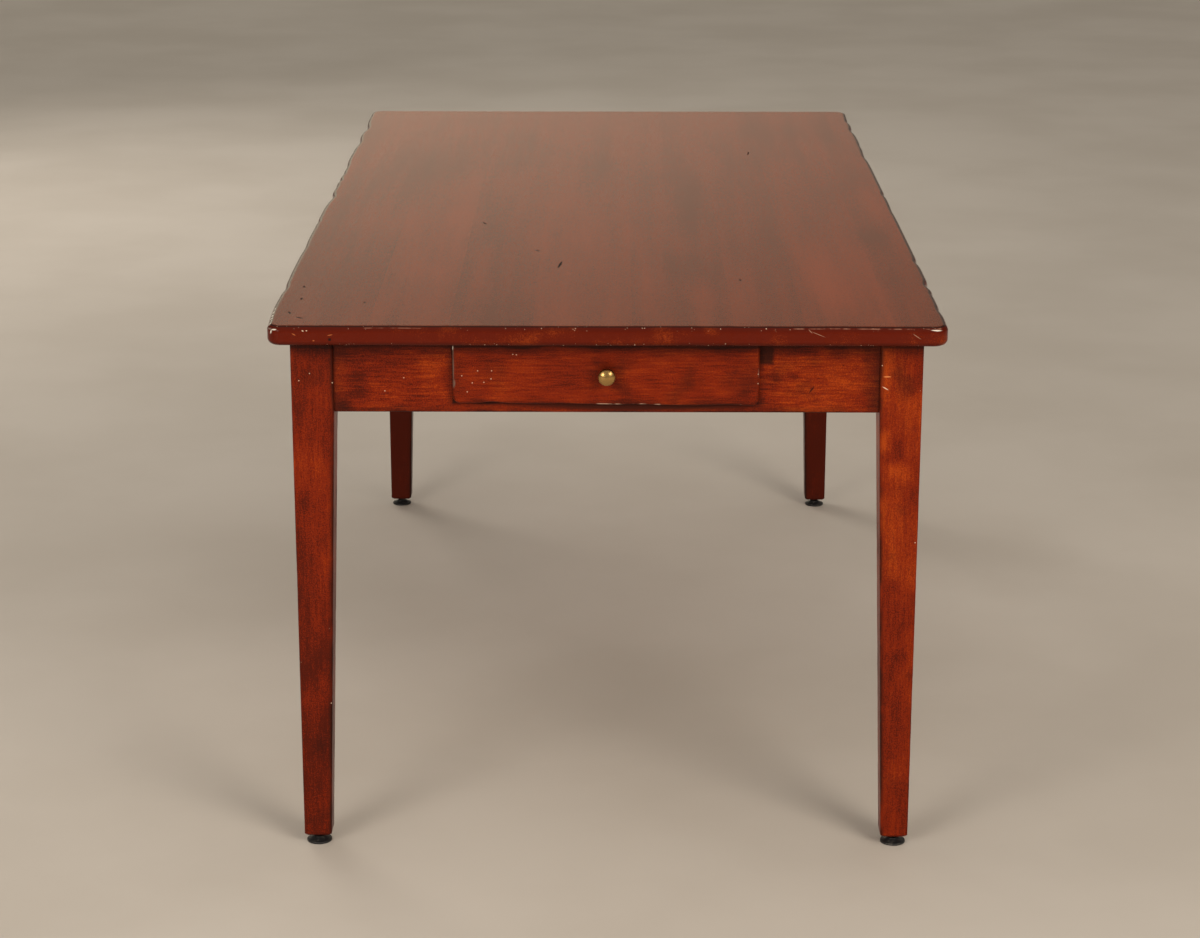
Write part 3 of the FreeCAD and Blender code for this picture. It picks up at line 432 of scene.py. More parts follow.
def cherry(name, turn, inside=(), outside=(), warm=(), rubbed=(), marks=(), streaked=STREAK_WEIGHT):
    """Red-stained, glazed and lacquered cherry, with its grain turned along one axis.

    Glaze and painted shade darken the wood within a reach of the sides of each box in inside, from within,
    and of each box in outside, from without; both are lists of (middle, half, reach, share). The stain is
    lifted towards orange in the boxes of warm, by (middle, half, lift). Arrises are rubbed through to a
    colour, partly a painted highlight, in the boxes of rubbed, by (middle, half, colour). Scratch marks,
    chips, painted sheen and painted shadows are marks, by (middle, half, turn, colour).
    """
    material, tree, shader, place = finish(name, Specular_IOR_Level=LACQUER_SHEEN)
    run = node(tree, "ShaderNodeMapping", {"Vector": place, "Rotation": turn}).outputs[0]
    grain = use(tree, GRAIN, {"Place": run})
    arris = attribute(tree, "arris")
    wear = use(tree, WEAR, {"Place": place, "Arris": arris})
    speckle = mottle(tree, place, **SPECKLE)

    streak_offset = (STREAK_WEIGHT - streaked) / 2
    shade = calc(tree, "ADD", attribute(tree, "tone"), streak_offset)
    shade = total(tree, shade, (grain["Figure"], FIGURE_WEIGHT), (grain["Streak"], streaked),
                  (speckle, SPECKLE_WEIGHT))
    for middle, half, lift in warm:
        cover = ease(tree, depth_in_box(tree, place, middle, half), -WARM_FADE, WARM_FADE)
        shade = total(tree, shade, (cover, lift))
    colour = layer(tree, FRAME_DARK, FRAME_RED, ease(tree, shade, *DARK_STEP))
    colour = layer(tree, colour, FRAME_ORANGE, ease(tree, shade, *ORANGE_STEP))
    colour = layer(tree, colour, FRAME_DARK, grain["Pore"], PORE_SHARE)

    broken = ease(tree, total(tree, wear["Smoke"], (speckle, SMOKE_DUST)), *LINE_STEP)
    line = product(tree, attribute(tree, "glazed"), broken, LINE_SHARE)
    dark = calc(tree, "MAXIMUM", product(tree, wear["Glaze"], GLAZE_SHARE), line)
    # Glaze and painted shade, from within and from without the boxes.
    for boxes, way in ((inside, 1), (outside, -1)):
        for middle, half, reach, share in boxes:
            away = product(tree, depth_in_box(tree, place, middle, half), way)
            away = total(tree, away, (wear["Smoke"], SMOKE_SPREAD * reach))
            mean = SMOKE_SPREAD * reach / 2
            near = product(tree, ease(tree, away, mean + reach, mean), share)
            dark = calc(tree, "MAXIMUM", dark, near)
    colour = layer(tree, colour, GLAZE_AND_SHADE_BLACK, dark)

    for middle, half, bare in rubbed:
        cover = ease(tree, depth_in_box(tree, place, middle, half), 0, BARE_FADE)
        colour = layer(tree, colour, bare, cover, wear["Rubbed"])
    fleck = speck(tree, place, ARRIS_FLECK)
    colour = layer(tree, colour, FLECK_TAN, fleck, ease(tree, arris, *ARRIS_STEP))
    colour = marked(tree, place, colour, marks)
    pit = speck(tree, place, PIT)
    colour = layer(tree, colour, GLAZE_AND_SHADE_BLACK, pit, PIT_SHARE)

    rough = total(tree, FRAME_ROUGH, (grain["Streak"], STREAK_ROUGH), (dark, GLAZE_ROUGH))
    low = calc(tree, "MAXIMUM", pit, product(tree, grain["Pore"], PORE_SHARE))
    height = calc(tree, "SUBTRACT", product(tree, grain["Streak"], STREAK_WEIGHT), low)
    feed(tree, shader, colour, rough, height, FRAME_RELIEF)
    return material


def dress(piece, material, body, slot, *replaced):
    """Give a new piece its finish, its body and the solids that it stands for; its slot is not used."""
    piece.data.materials.append(material)
    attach(piece, body)
    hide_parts(*replaced)


# Painted shadow of the top's overhang, with glaze gathered there too: legs and aprons darken upwards to a
# line a little below the top's underside.
OVERHANG_SHADE_DROP = 0.014
UNDER_TOP = ((0, 0, apron_high.z - OVERHANG_SHADE_DROP - FAR), (FAR, FAR, FAR))
TOP_SHADOW = [(*UNDER_TOP, 0.018, 0.45), (*UNDER_TOP, 0.006, 0.8)]
LEG_WARM = [
    ((0.374, 0, 0.592), (0.006, FAR, 0.012), 0.4), ((0.393, 0, 0.58), (0.006, FAR, 0.014), -0.3),
    ((0.392, 0, 0.548), (0.018, FAR, 0.01), 0.25), ((0.372, 0, 0.67), (0.004, FAR, 0.03), 0.2),
    ((0.425, 0, 0.69), (0.012, FAR, 0.03), -0.25), ((-0.41, 0, 0.505), (0.004, FAR, 0.01), -0.2),
    ((0.39, 0, 0.385), (0.006, FAR, 0.006), -0.25), ((0.398, 0, 0.285), (0.012, FAR, 0.002), -0.25),
]
SCRATCH_ORANGE = (0.62, 0.2, 0.06, 1)
leg_marks = flecks(-leg_out[1], FLECK_TAN, (0.3678, 0.6964), (-0.3974, 0.684), (-0.412, 0.674))
leg_marks += upright_marks(-leg_out[1], FACE_MARK_DEPTH, (0.375, 0.681, 0.0065, 0.0013, 0, SCRATCH_ORANGE),
                       (0.3728, 0.665, 0.0058, 0.0009, 29.5, FLECK_TAN))
leg_wood = cherry("leg_cherry", ALONG_Z, TOP_SHADOW, warm=LEG_WARM, marks=leg_marks, streaked=LEG_STREAK)
for corner, signs in CORNERS.items():
    leg = shell(f"{corner}_leg", [leg_surface(signs, LEG_LIGHT_TONES[corner])], ("arris", "glazed", "tone"))
    dress(leg, leg_wood, "table_frame", "frame_wood", f"leg_{corner}")

# Aprons
# Four plain boards of the same cherry, grain along their length, butted between the legs and set back from
# their faces. Glaze and painted shade darken them where they meet the legs and along their edges, with a
# painted shadow under the top's overhang and painted shade round the drawer's lip.
# Glaze with painted shade: darker towards the legs at each apron's ends, and along its upper and lower edges.
END_GLAZE_AND_SHADE = [(0.034, 0.68), (0.005, 0.85)]
EDGE_GLAZE_AND_SHADE = [(0.012, 0.4), (0.004, 0.8)]
# Painted shade round the drawer's lip: a dark band in and beside its gap, and a dark patch right of its upper
# corner.
GAP_SHADE = [(0.012, 0.4), (0.004, 0.9)]
SHADE_RIGHT_OF_LIP = ((0.213, 0, 0.72), (0.007, FAR, 0.02), 0.007, 0.85)
PLANED_GAP = 0.004
FRONT_WARM = [
    ((-0.235, 0, 0.682), (0.012, FAR, 0.02), 0.25), ((0.3, 0, 0.66), (0.07, FAR, 0.05), 0.16),
    ((-0.335, 0, 0.68), (0.012, FAR, 0.03), -0.25), ((0.252, 0, 0.681), (0.006, FAR, 0.004), -0.3),
]
# Dark of a scar, also used for the painted shadow under the drawer's lip.
SCAR_AND_SHADOW_DARK = (0.045, 0.007, 0.003, 1)
front_marks = flecks(apron_low.y, FLECK_TAN, (-0.2975, 0.6588), (-0.2718, 0.677))
# The second mark below is a painted shadow: a dark strip on the apron just under the drawer's lip.
front_marks += upright_marks(apron_low.y, FACE_MARK_DEPTH, (0.2745, 0.6615, 0.0014, 0.0075, 36, SCAR_AND_SHADOW_DARK),
                         (0.045, 0.6405, 0.21, 0.0105, 0, SCAR_AND_SHADOW_DARK))


def paint(material, *names):
    """Give solids their finish."""
    for name in names:
        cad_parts[name].data.materials.clear()
        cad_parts[name].data.materials.append(material)


def glaze_and_shade_box(node_name, open_axes, layers):
    """A solid's box, left open along some axes, once for each (reach, share) in layers."""
    low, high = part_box(node_name)
    half = (high - low) / 2
    for axis in open_axes:
        half[axis] = FAR
    return [(tuple((low + high) / 2), tuple(half), reach, share) for reach, share in layers]


edge_joints = TOP_SHADOW + glaze_and_shade_box("front_apron", (0, 1), EDGE_GLAZE_AND_SHADE)
end_joints = edge_joints + glaze_and_shade_box("front_apron", (1, 2), END_GLAZE_AND_SHADE)
side_joints = edge_joints + glaze_and_shade_box("side_apron_left", (0, 2), END_GLAZE_AND_SHADE)
lip_low, lip_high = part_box("drawer_front")
# The painted shade round the drawer follows the lip's outline, planed back at its right edge.
gap_middle = (-PLANED_GAP / 2, 0, (lip_low.z + lip_high.z) / 2)
gap_half = ((lip_high.x - lip_low.x - PLANED_GAP) / 2, FAR, (lip_high.z - lip_low.z) / 2)
drawer_gap_shade = [(gap_middle, gap_half, *glaze) for glaze in GAP_SHADE] + [SHADE_RIGHT_OF_LIP]
front_wood = cherry("front_apron_cherry", ALONG_X, end_joints, drawer_gap_shade, FRONT_WARM, marks=front_marks,
                    streaked=FRONT_STREAK)
paint(front_wood, "front_apron")
paint(cherry("rear_apron_cherry", ALONG_X, end_joints), "rear_apron")
paint(cherry("side_apron_cherry", ALONG_Y, side_joints), "side_apron_left", "side_apron_right")

# Corner blocks, rails, runners, kickers and buttons
# Plain unstained hardwood inside the frame: blocks across the corners, two rails between the side aprons,
# ledges that the drawer slides on, strips that keep it level, and buttons that hold the top down.
INNER_PALE = (0.52, 0.37, 0.215, 1)
INNER_BROWN = (0.38, 0.25, 0.13, 1)
INNER_GRIME = (0.16, 0.1, 0.055, 1)
INNER_SHEEN = 0.25
INNER_GRAIN_WEIGHT = 0.8
INNER_PALE_STEP = (0.62, 1.0)
INNER_PORE_SHARE = 0.3
GRIME_PATCH, GRIME_SHARE = {"per_metre": 9, "detail": 5, "step": (0.52, 0.8)}, 0.5
PLANE_MARKS, PLANE_MARK_WEIGHT = {"Scale": 70, "Distortion": 3}, 0.25
INNER_ROUGH, INNER_STREAK_ROUGH = 0.5, 0.2
INNER_RELIEF = {"Strength": 0.25, "Distance": 0.0003}


def plain_wood(name, turn, pale=INNER_PALE, brown=INNER_BROWN):
    """Planed bare hardwood: streaked grain, pores, faint cross marks of the plane and some grime."""
    material, tree, shader, place = finish(name, Specular_IOR_Level=INNER_SHEEN)
    run = node(tree, "ShaderNodeMapping", {"Vector": place, "Rotation": turn}).outputs[0]
    grain = use(tree, GRAIN, {"Place": run})
    shade = product(tree, calc(tree, "ADD", grain["Streak"], grain["Figure"]), INNER_GRAIN_WEIGHT)
    colour = layer(tree, brown, pale, ease(tree, shade, *INNER_PALE_STEP))
    colour = layer(tree, colour, INNER_GRIME, grain["Pore"], INNER_PORE_SHARE)
    colour = layer(tree, colour, INNER_GRIME, mottle(tree, place, **GRIME_PATCH), GRIME_SHARE)
    wave = {"Vector": run, **PLANE_MARKS}
    planed = node(tree, "ShaderNodeTexWave", wave, bands_direction="Y").outputs["Fac"]
    height = total(tree, grain["Streak"], (planed, PLANE_MARK_WEIGHT))
    rough = total(tree, INNER_ROUGH, (grain["Streak"], INNER_STREAK_ROUGH))
    feed(tree, shader, colour, rough, height, INNER_RELIEF)
    return material


paint(plain_wood("block_wood", ALONG_X), *[f"corner_block_{corner}" for corner in CORNERS])
paint(plain_wood("rail_wood", ALONG_X), "cross_rail_front", "cross_rail_rear", "top_buttons")
slide_wood = plain_wood("slide_wood", ALONG_Y)
for part in ("runner", "kicker", "side"):
    paint(slide_wood, f"drawer_{part}_left", f"drawer_{part}_right")

# Bolts, screws, brads and inserts
# Zinc-plated steel: hanger bolts with washers and nuts through the corner blocks, slotted wood screws,
# brads under the drawer's bottom, and the threaded inserts in the feet. The plating has dulled in patches.
ZINC_BRIGHT = (0.56, 0.56, 0.55, 1)
ZINC_DULL = (0.33, 0.32, 0.3, 1)
ZINC_CLOUD = {"per_metre": 240, "detail": 4, "step": (0.35, 0.7)}
ZINC_BRUSHED = {"per_metre": 3000, "detail": 2, "run": (1, 1, 0.1)}
ZINC_ROUGH, ZINC_DULL_ROUGH = 0.28, 0.25
ZINC_RELIEF = {"Strength": 0.15, "Distance": 0.0002}


def zinc_plate():
    """Dulled zinc plating: cloudy brightness and roughness over a fine brushed bump."""
    material, tree, shader, place = finish("zinc_plate", Metallic=1.0)
    cloud = mottle(tree, place, **ZINC_CLOUD)
    colour = layer(tree, ZINC_BRIGHT, ZINC_DULL, cloud)
    rough = total(tree, ZINC_ROUGH, (cloud, ZINC_DULL_ROUGH))
    feed(tree, shader, colour, rough, mottle(tree, place, **ZINC_BRUSHED), ZINC_RELIEF)
    return material


paint(zinc_plate(), "hanger_bolts", "hanger_washers", "hanger_nuts", "block_screws", "button_screws",
      "kicker_screws", "bottom_brads", "knob_screw", "leg_inserts")

# Levellers
# A black moulded pad with a coned hub under each leg. A blackened stud, with a hexagonal collar for a
# spanner and an M8 thread, turns in the pad's socket and screws into the leg's insert.
PAD_RIM, PAD_EDGE, PAD_EDGE_ROUND = 0.0175, 0.0034, 0.001
PAD_HUB, PAD_HIGH, PAD_CONE_SAG = 0.0085, 0.008, 0.0007
PAD_FLOOR, SOCKET_ROOF, SOCKET, NECK_HOLE = 0.002, 0.005, 0.00575, 0.00325
FLANGE, FLANGE_LOW, FLANGE_HIGH, NECK = 0.0055, 0.00225, 0.00475, 0.003
COLLAR_FLAT, COLLAR_LOW, COLLAR_HIGH, COLLAR_EASE = 0.0065, 0.0084, 0.0116, 0.0005
STUD, STUD_HIGH, STUD_CHAMFER = 0.004, 0.052, 0.001
THREAD_PITCH, THREAD_DEPTH, THREAD_ROWS = 0.00125, 0.00065, 8
TURN_POINTS = 48
ARC_POINTS = 5

turns = np.linspace(0, 2 * math.pi, TURN_POINTS + 1)
leg_foot = Vector((leg_out[0] - LEG_FOOT / 2, leg_out[1] - LEG_FOOT / 2, 0))


def arc(centre, radius, start, end, points=ARC_POINTS):
    """Points of an arc in (radius, height), from one angle in degrees to another."""
    angle = np.radians(np.linspace(start, end, points))
    return stacked(centre[0] + radius * np.cos(angle), centre[1] + radius * np.sin(angle))


def turned(radius, height, middle):
    """Rings about an upright axis: a row for each height, with one radius or with one for each turn."""
    x = middle.x + radius * np.cos(turns)
    y = middle.y + radius * np.sin(turns)
    return stacked(x, y, middle.z + height)


def pad_profile():
    """From the underside's middle round the rim, up the sagging cone, over the hub and into the socket."""
    inner = PAD_RIM - PAD_EDGE_ROUND
    climb = np.linspace(0, 1, 2 * ARC_POINTS)
    cone = stacked(
        inner + (PAD_HUB - inner) * climb,
        PAD_EDGE + (PAD_HIGH - PAD_EDGE_ROUND - PAD_EDGE) * climb - PAD_CONE_SAG * np.sin(math.pi * climb),
    )
    return np.concatenate([
        [(0, 0)],
        arc((inner, PAD_EDGE_ROUND), PAD_EDGE_ROUND, -90, 0),
        arc((inner, PAD_EDGE - PAD_EDGE_ROUND), PAD_EDGE_ROUND, 0, 90),
        cone[1:],
        arc((PAD_HUB - PAD_EDGE_ROUND, PAD_HIGH - PAD_EDGE_ROUND), PAD_EDGE_ROUND, 0, 90)[1:],
        [(NECK_HOLE, PAD_HIGH), (NECK_HOLE, SOCKET_ROOF), (SOCKET, SOCKET_ROOF), (SOCKET, PAD_FLOOR),
         (0, PAD_FLOOR)],
    ])


def stud_surface(middle):
    """Flange, neck, hexagonal collar and thread, as rings with a radius for each turn and height.

    The collar's radius is its flat's distance over the cosine of the turn from the nearest flat, cut back to
    a cone at both ends. The thread's radius rises and falls once per pitch, on a helix.
    """
    plain = np.array([(0, FLANGE_LOW), (FLANGE, FLANGE_LOW), (FLANGE, FLANGE_HIGH), (NECK, FLANGE_HIGH),
                      (NECK, COLLAR_LOW)])
    sixth = math.pi / 3
    hexagon = COLLAR_FLAT / np.cos((turns + sixth / 2) % sixth - sixth / 2)
    eased = np.minimum(hexagon, COLLAR_FLAT + COLLAR_EASE)
    collar_heights = [COLLAR_LOW, COLLAR_LOW + COLLAR_EASE, COLLAR_HIGH - COLLAR_EASE, COLLAR_HIGH]
    collar = np.stack([eased, hexagon, hexagon, eased])
    steps = round((STUD_HIGH - COLLAR_HIGH) / THREAD_PITCH * THREAD_ROWS)
    rise = np.linspace(COLLAR_HIGH, STUD_HIGH, steps)[:, None]
    phase = (rise / THREAD_PITCH - turns / (2 * math.pi)) % 1
    thread = STUD - THREAD_DEPTH * np.abs(2 * phase - 1)
    thread = np.minimum(thread, STUD - STUD_CHAMFER + np.minimum(STUD_HIGH - rise, STUD_CHAMFER))
    start = np.repeat(plain[:, :1], len(turns), axis=1)
    radius = np.concatenate([start, collar, thread, np.zeros((1, len(turns)))])
    height = np.concatenate([plain[:, 1], collar_heights, rise[:, 0], [STUD_HIGH]])[:, None]
    return turned(radius, height, middle)


PAD_BLACK = (0.012, 0.012, 0.013, 1)
PAD_DUST = (0.11, 0.1, 0.085, 1)
STUD_BLACK = (0.022, 0.021, 0.02, 1)
STUD_BARE = (0.2, 0.19, 0.18, 1)
PAD_ROUGH, STUD_ROUGH = 0.42, 0.35
BLACK_WEAR = {"per_metre": 170, "detail": 5, "step": (0.52, 0.75)}
BLACK_WEAR_SHARE, BLACK_WEAR_ROUGH = 0.55, 0.3
BLACK_SKIN = {"per_metre": 2600, "detail": 2}
BLACK_RELIEF = {"Strength": 0.25, "Distance": 0.0002}


def worn_black(name, black, worn, metal, rough):
    """A black finish with a fine moulded or forged skin, paler where dust or bare metal shows."""
    material, tree, shader, place = finish(name, Metallic=metal)
    pale = product(tree, mottle(tree, place, **BLACK_WEAR), BLACK_WEAR_SHARE)
    colour = layer(tree, black, worn, pale)
    rough = total(tree, rough, (pale, BLACK_WEAR_ROUGH))
    feed(tree, shader, colour, rough, mottle(tree, place, **BLACK_SKIN), BLACK_RELIEF)
    return material


pad_black = worn_black("pad_black", PAD_BLACK, PAD_DUST, metal=0.0, rough=PAD_ROUGH)
stud_black = worn_black("stud_black", STUD_BLACK, STUD_BARE, metal=1.0, rough=STUD_ROUGH)
for corner, signs in CORNERS.items():
    middle = Vector((signs[0] * leg_foot.x, signs[1] * leg_foot.y, 0))
    pad = shell(f"{corner}_pad", [turned(*np.hsplit(pad_profile(), 2), middle)])
    dress(pad, pad_black, f"leveller_pad_{corner}", "pad_plastic", f"leveller_pad_{corner}")
    stud = shell(f"{corner}_stud", [stud_surface(middle)])
    dress(stud, stud_black, f"leveller_stud_{corner}", "stud_steel", f"leveller_stud_{corner}")

# Drawer
# A lipped front of the same cherry, its lip lapping the apron all round and its lower edge worn wavy. Behind
# it a tongue takes the dovetails of two plain sides, with a plain back and a thin panel let into grooves.
LIP_THICKNESS = 0.01
LIP_CORNER = 0.01
LIP_FACE_ROUND = 0.004
LIP_BACK_ROUND = 0.0008
LIP_STEPS = {"fine": 0.0008, "coarse": 0.004}
LIP_WORN_REACH = 0.016
LIP_KNOCKS = {"count": 14, "depth": 0.0009, "length": 0.03}
LIP_SAG = 0.0014
LIP_PLANED = 0.002
LIP_TONE = -0.02
TONGUE_INSET = 0.00015
LIP_GLAZE = [(0.01, 0.45), (0.0025, 0.7)]
# Painted shadow of the top's overhang on the drawer's face: reaches and shares, then how far below the lip's
# top it starts.
LIP_OVERHANG_SHADOW = [(0.014, 0.5), (0.006, 0.85)]
LIP_OVERHANG_SHADE_DROP = 0.011
LIP_STREAK = 0.85
# Painted shade round the knob's foot on the drawer's face: half size of its box, then reach and share.
KNOB_SHADE_HALF, KNOB_SHADE = 0.012, (0.016, 0.55)


def stations(ends, margins, fine, coarse):
    """Places from one end to the other: fine steps over the margin at each end, coarse steps between."""
    stops = [ends[0], ends[0] + margins[0], ends[1] - margins[1], ends[1]]
    runs = [
        np.linspace(start, stop, math.ceil((stop - start) / step), endpoint=False)
        for start, stop, step in zip(stops, stops[1:], (fine, coarse, fine))
    ]
    return np.concatenate([*runs, [ends[1]]])


def skin_width(corner, thickness, upper):
    """How far a plate's corner reaches from its centre when the wall and the round are laid flat."""
    return corner + thickness / 2 - upper + upper * (math.pi / 2 - 1)


def plate(columns, rows, half, corner, thickness, rounds):
    """Upper and lower sheets of a flat plate about the origin, with rounded corners and arrises.

    The grid lies on the plate's skin rolled out flat: columns are places across it, and rows are shares of
    its reach along it. A point's share of the way in from the border says how far up the wall, round the
    arris and over the level it lies. Each sheet holds x, y, z, then the arris (one in the middle of the
    round) and the edge (one on the wall, none on the level).
    """
    centre = np.array(half) - corner
    skin = skin_width(corner, thickness, rounds[0])
    x = columns[None, :]
    reach = centre[1] + np.sqrt(np.maximum(skin ** 2 - np.maximum(np.abs(x) - centre[0], 0) ** 2, 0))
    flat = stacked(x, rows[:, None] * reach)
    core = np.clip(flat, -centre, centre)
    lean = flat - core
    length = np.linalg.norm(lean, axis=-1)
    share = 1 - length / skin
    sheets = []
    for radius, way in zip(rounds, (1, -1)):
        wall = thickness / 2 - radius
        climbed = share * skin_width(corner, thickness, radius)
        turn = np.clip((climbed - wall) / radius, 0, math.pi / 2)
        inset = radius * (1 - np.cos(turn)) + np.maximum(climbed - wall - radius * math.pi / 2, 0)
        drop = radius * (1 - np.sin(turn)) + np.maximum(wall - climbed, 0)
        place = core + lean / np.maximum(length, WELD)[..., None] * (corner - inset)[..., None]
        height = way * (thickness / 2 - drop)
        sheets.append(np.dstack([place, height, np.sin(2 * turn), np.cos(turn) ** 2]))
    return sheets


def lip_surface():
    """The lip as a plate stood up on its edge: across is X, along is Z and its upper face looks to -Y.

    Its lower edge is dented and sags to the right, its upper edge is dented less, and its right edge is
    planed back.
    """
    half = ((lip_high.x - lip_low.x) / 2, (lip_high.z - lip_low.z) / 2)
    skin = skin_width(LIP_CORNER, LIP_THICKNESS, LIP_FACE_ROUND)
    width, tall = half[0] - LIP_CORNER + skin, half[1] - LIP_CORNER + skin
    columns = stations((-width, width), (skin, skin), **LIP_STEPS)
    rows = stations((-tall, tall), (skin, skin), **LIP_STEPS) / tall
    lower_wear = knocks((-half[0], half[0]), **LIP_KNOCKS)
    upper_wear = knocks((-half[0], half[0]), **LIP_KNOCKS)
    middle = (lip_low + lip_high) / 2
    lips = []
    for sheet in plate(columns, rows, half, LIP_CORNER, LIP_THICKNESS, (LIP_FACE_ROUND, LIP_BACK_ROUND)):
        x, z, out, arris = np.moveaxis(sheet[..., :-1], -1, 0)
        below = bell(half[1] + z, LIP_WORN_REACH)
        above = bell(half[1] - z, LIP_WORN_REACH)
        beside = bell(half[0] - x, LIP_WORN_REACH)
        sag = LIP_SAG * np.sin(x / half[0] * math.pi / 2)
        z = z + below * (lower_wear(x) - sag) - above * upper_wear(x) / 2
        x = x - beside * LIP_PLANED
        y = lip_low.y + LIP_THICKNESS / 2 - out
        lips.append(stacked(middle.x + x, y, middle.z + z, arris, LIP_TONE))
    return lips


def block(low, high):
    """A plain board between two corners: an oblong in X and Z carried along Y and flattened at each end."""
    x = np.array([low.x, high.x, high.x, low.x, low.x])
    z = np.array([low.z, low.z, high.z, high.z, low.z])
    middle = (low.z + high.z) / 2
    rings = ((low.y, 0), (low.y, 1), (high.y, 1), (high.y, 0))
    return np.stack([stacked(x, y, middle + (z - middle) * open_share) for y, open_share in rings])


box_low, box_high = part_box("drawer_side_left")
tongue_low = Vector((box_low.x + TONGUE_INSET, lip_low.y + LIP_THICKNESS, box_low.z + TONGUE_INSET))
tongue_high = Vector((-tongue_low.x, lip_high.y, box_high.z - TONGUE_INSET))
tongue = block(tongue_low, tongue_high)
tongue = np.dstack([tongue, np.zeros(tongue.shape[:2]), np.full(tongue.shape[:2], LIP_TONE)])
drawer_front = shell("lipped_front", [*lip_surface(), tongue], ("arris", "tone"))

knob_low, knob_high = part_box("drawer_knob")
knob_foot = Vector(((knob_low.x + knob_high.x) / 2, knob_high.y, (knob_low.z + knob_high.z) / 2))
# Painted shade round the knob, darkening the face outside a small box about its foot.
knob_shade = (tuple(knob_foot), (KNOB_SHADE_HALF, FAR, KNOB_SHADE_HALF), *KNOB_SHADE)
# Arrises rubbed through on the drawer's face, partly painted highlight: the grey strip down the left arris is
# painted sheen as well as wear, the pale line along the lower arris is a painted highlight as well as bare
# wood, and the right arris has pale nicks.
LIP_RUBBED_AND_SHEEN = [((lip_low.x, lip_low.y, lip_high.z), (0.012, FAR, 0.058), RUBBED_AND_SHEEN_GREY),
              ((lip_high.x, lip_low.y, 0.69), (0.012, FAR, 0.014), RUBBED_AND_SHEEN_GREY),
              ((0.03, lip_low.y, lip_low.z), (0.045, FAR, 0.01), BARE_AND_HIGHLIGHT_TAN)]
# White of a chip, also used for painted highlights on the top's front corners and its left edge.
CHIP_AND_HIGHLIGHT_WHITE = (0.75, 0.68, 0.58, 1)
LIP_MARK_DEPTH = 0.006
# On the left arris a grey strip and patch, painted sheen as well as wear, and a white chip at its top; then
# pale flecks.
lip_marks = upright_marks(
    lip_low.y, LIP_MARK_DEPTH, (-0.2056, 0.695, 0.0024, 0.028, 0, RUBBED_AND_SHEEN_GREY),
    (-0.205, 0.671, 0.0034, 0.008, 10, RUBBED_AND_SHEEN_GREY), (-0.2055, 0.72, 0.0012, 0.004, 8, CHIP_AND_HIGHLIGHT_WHITE),
)
lip_marks += flecks(
    lip_low.y, FLECK_TAN, (-0.1936, 0.6825), (-0.1723, 0.6894), (-0.1537, 0.6895), (-0.1546, 0.6784),
    (-0.1797, 0.6728), (-0.1641, 0.6736), (-0.1865, 0.6604), (-0.1252, 0.7121), (-0.1205, 0.7116),
    (0.2022, 0.6855), (0.2022, 0.6725),
)
# Painted shadow of the overhang on the drawer's face.
under_lip_top = ((0, 0, lip_high.z - LIP_OVERHANG_SHADE_DROP - FAR), (FAR, FAR, FAR))
lip_shade = [(*under_lip_top, *glaze) for glaze in LIP_OVERHANG_SHADOW]
drawer_wood = cherry("drawer_cherry", ALONG_X, lip_shade + glaze_and_shade_box("drawer_front", (1,), LIP_GLAZE),
                     [knob_shade], rubbed=LIP_RUBBED_AND_SHEEN, marks=lip_marks, streaked=LIP_STREAK)
dress(drawer_front, drawer_wood, "drawer", "frame_wood", "drawer_front")
paint(plain_wood("drawer_back_wood", ALONG_X), "drawer_back")
PANEL_PALE = (0.6, 0.45, 0.28, 1)
PANEL_BROWN = (0.5, 0.35, 0.2, 1)
paint(plain_wood("panel_wood", ALONG_Y, PANEL_PALE, PANEL_BROWN), "drawer_bottom")

# Drawer knob
# A cast brass knob: a flattened ball on a coved neck, held by a screw from inside. Its lacquer has gone, so
# handling keeps the crown bright, and the neck and the rim of its base have turned brown.
KNOB_BALL, KNOB_PROJECTION = 0.012, 0.025
KNOB_CROWN, KNOB_RIM = 0.017, 0.0045
KNOB_BASE, KNOB_BASE_HEIGHT, KNOB_NECK = 0.0065, 0.0018, 0.0045
KNOB_EASE = 0.0005
KNOB_COVE_POWER = 3
KNOB_POINTS = 14
BRASS_BRIGHT = (0.46, 0.28, 0.1, 1)
BRASS_BROWN = (0.13, 0.07, 0.028, 1)
TARNISH, TARNISH_STEP = {"per_metre": 260, "detail": 5}, (-0.1, 0.35)
HANDLED_WEIGHT = -0.75
BRASS_ROUGH, TARNISH_ROUGH = 0.27, 0.25
BRASS_RELIEF = {"Strength": 0.15, "Distance": 0.0003}


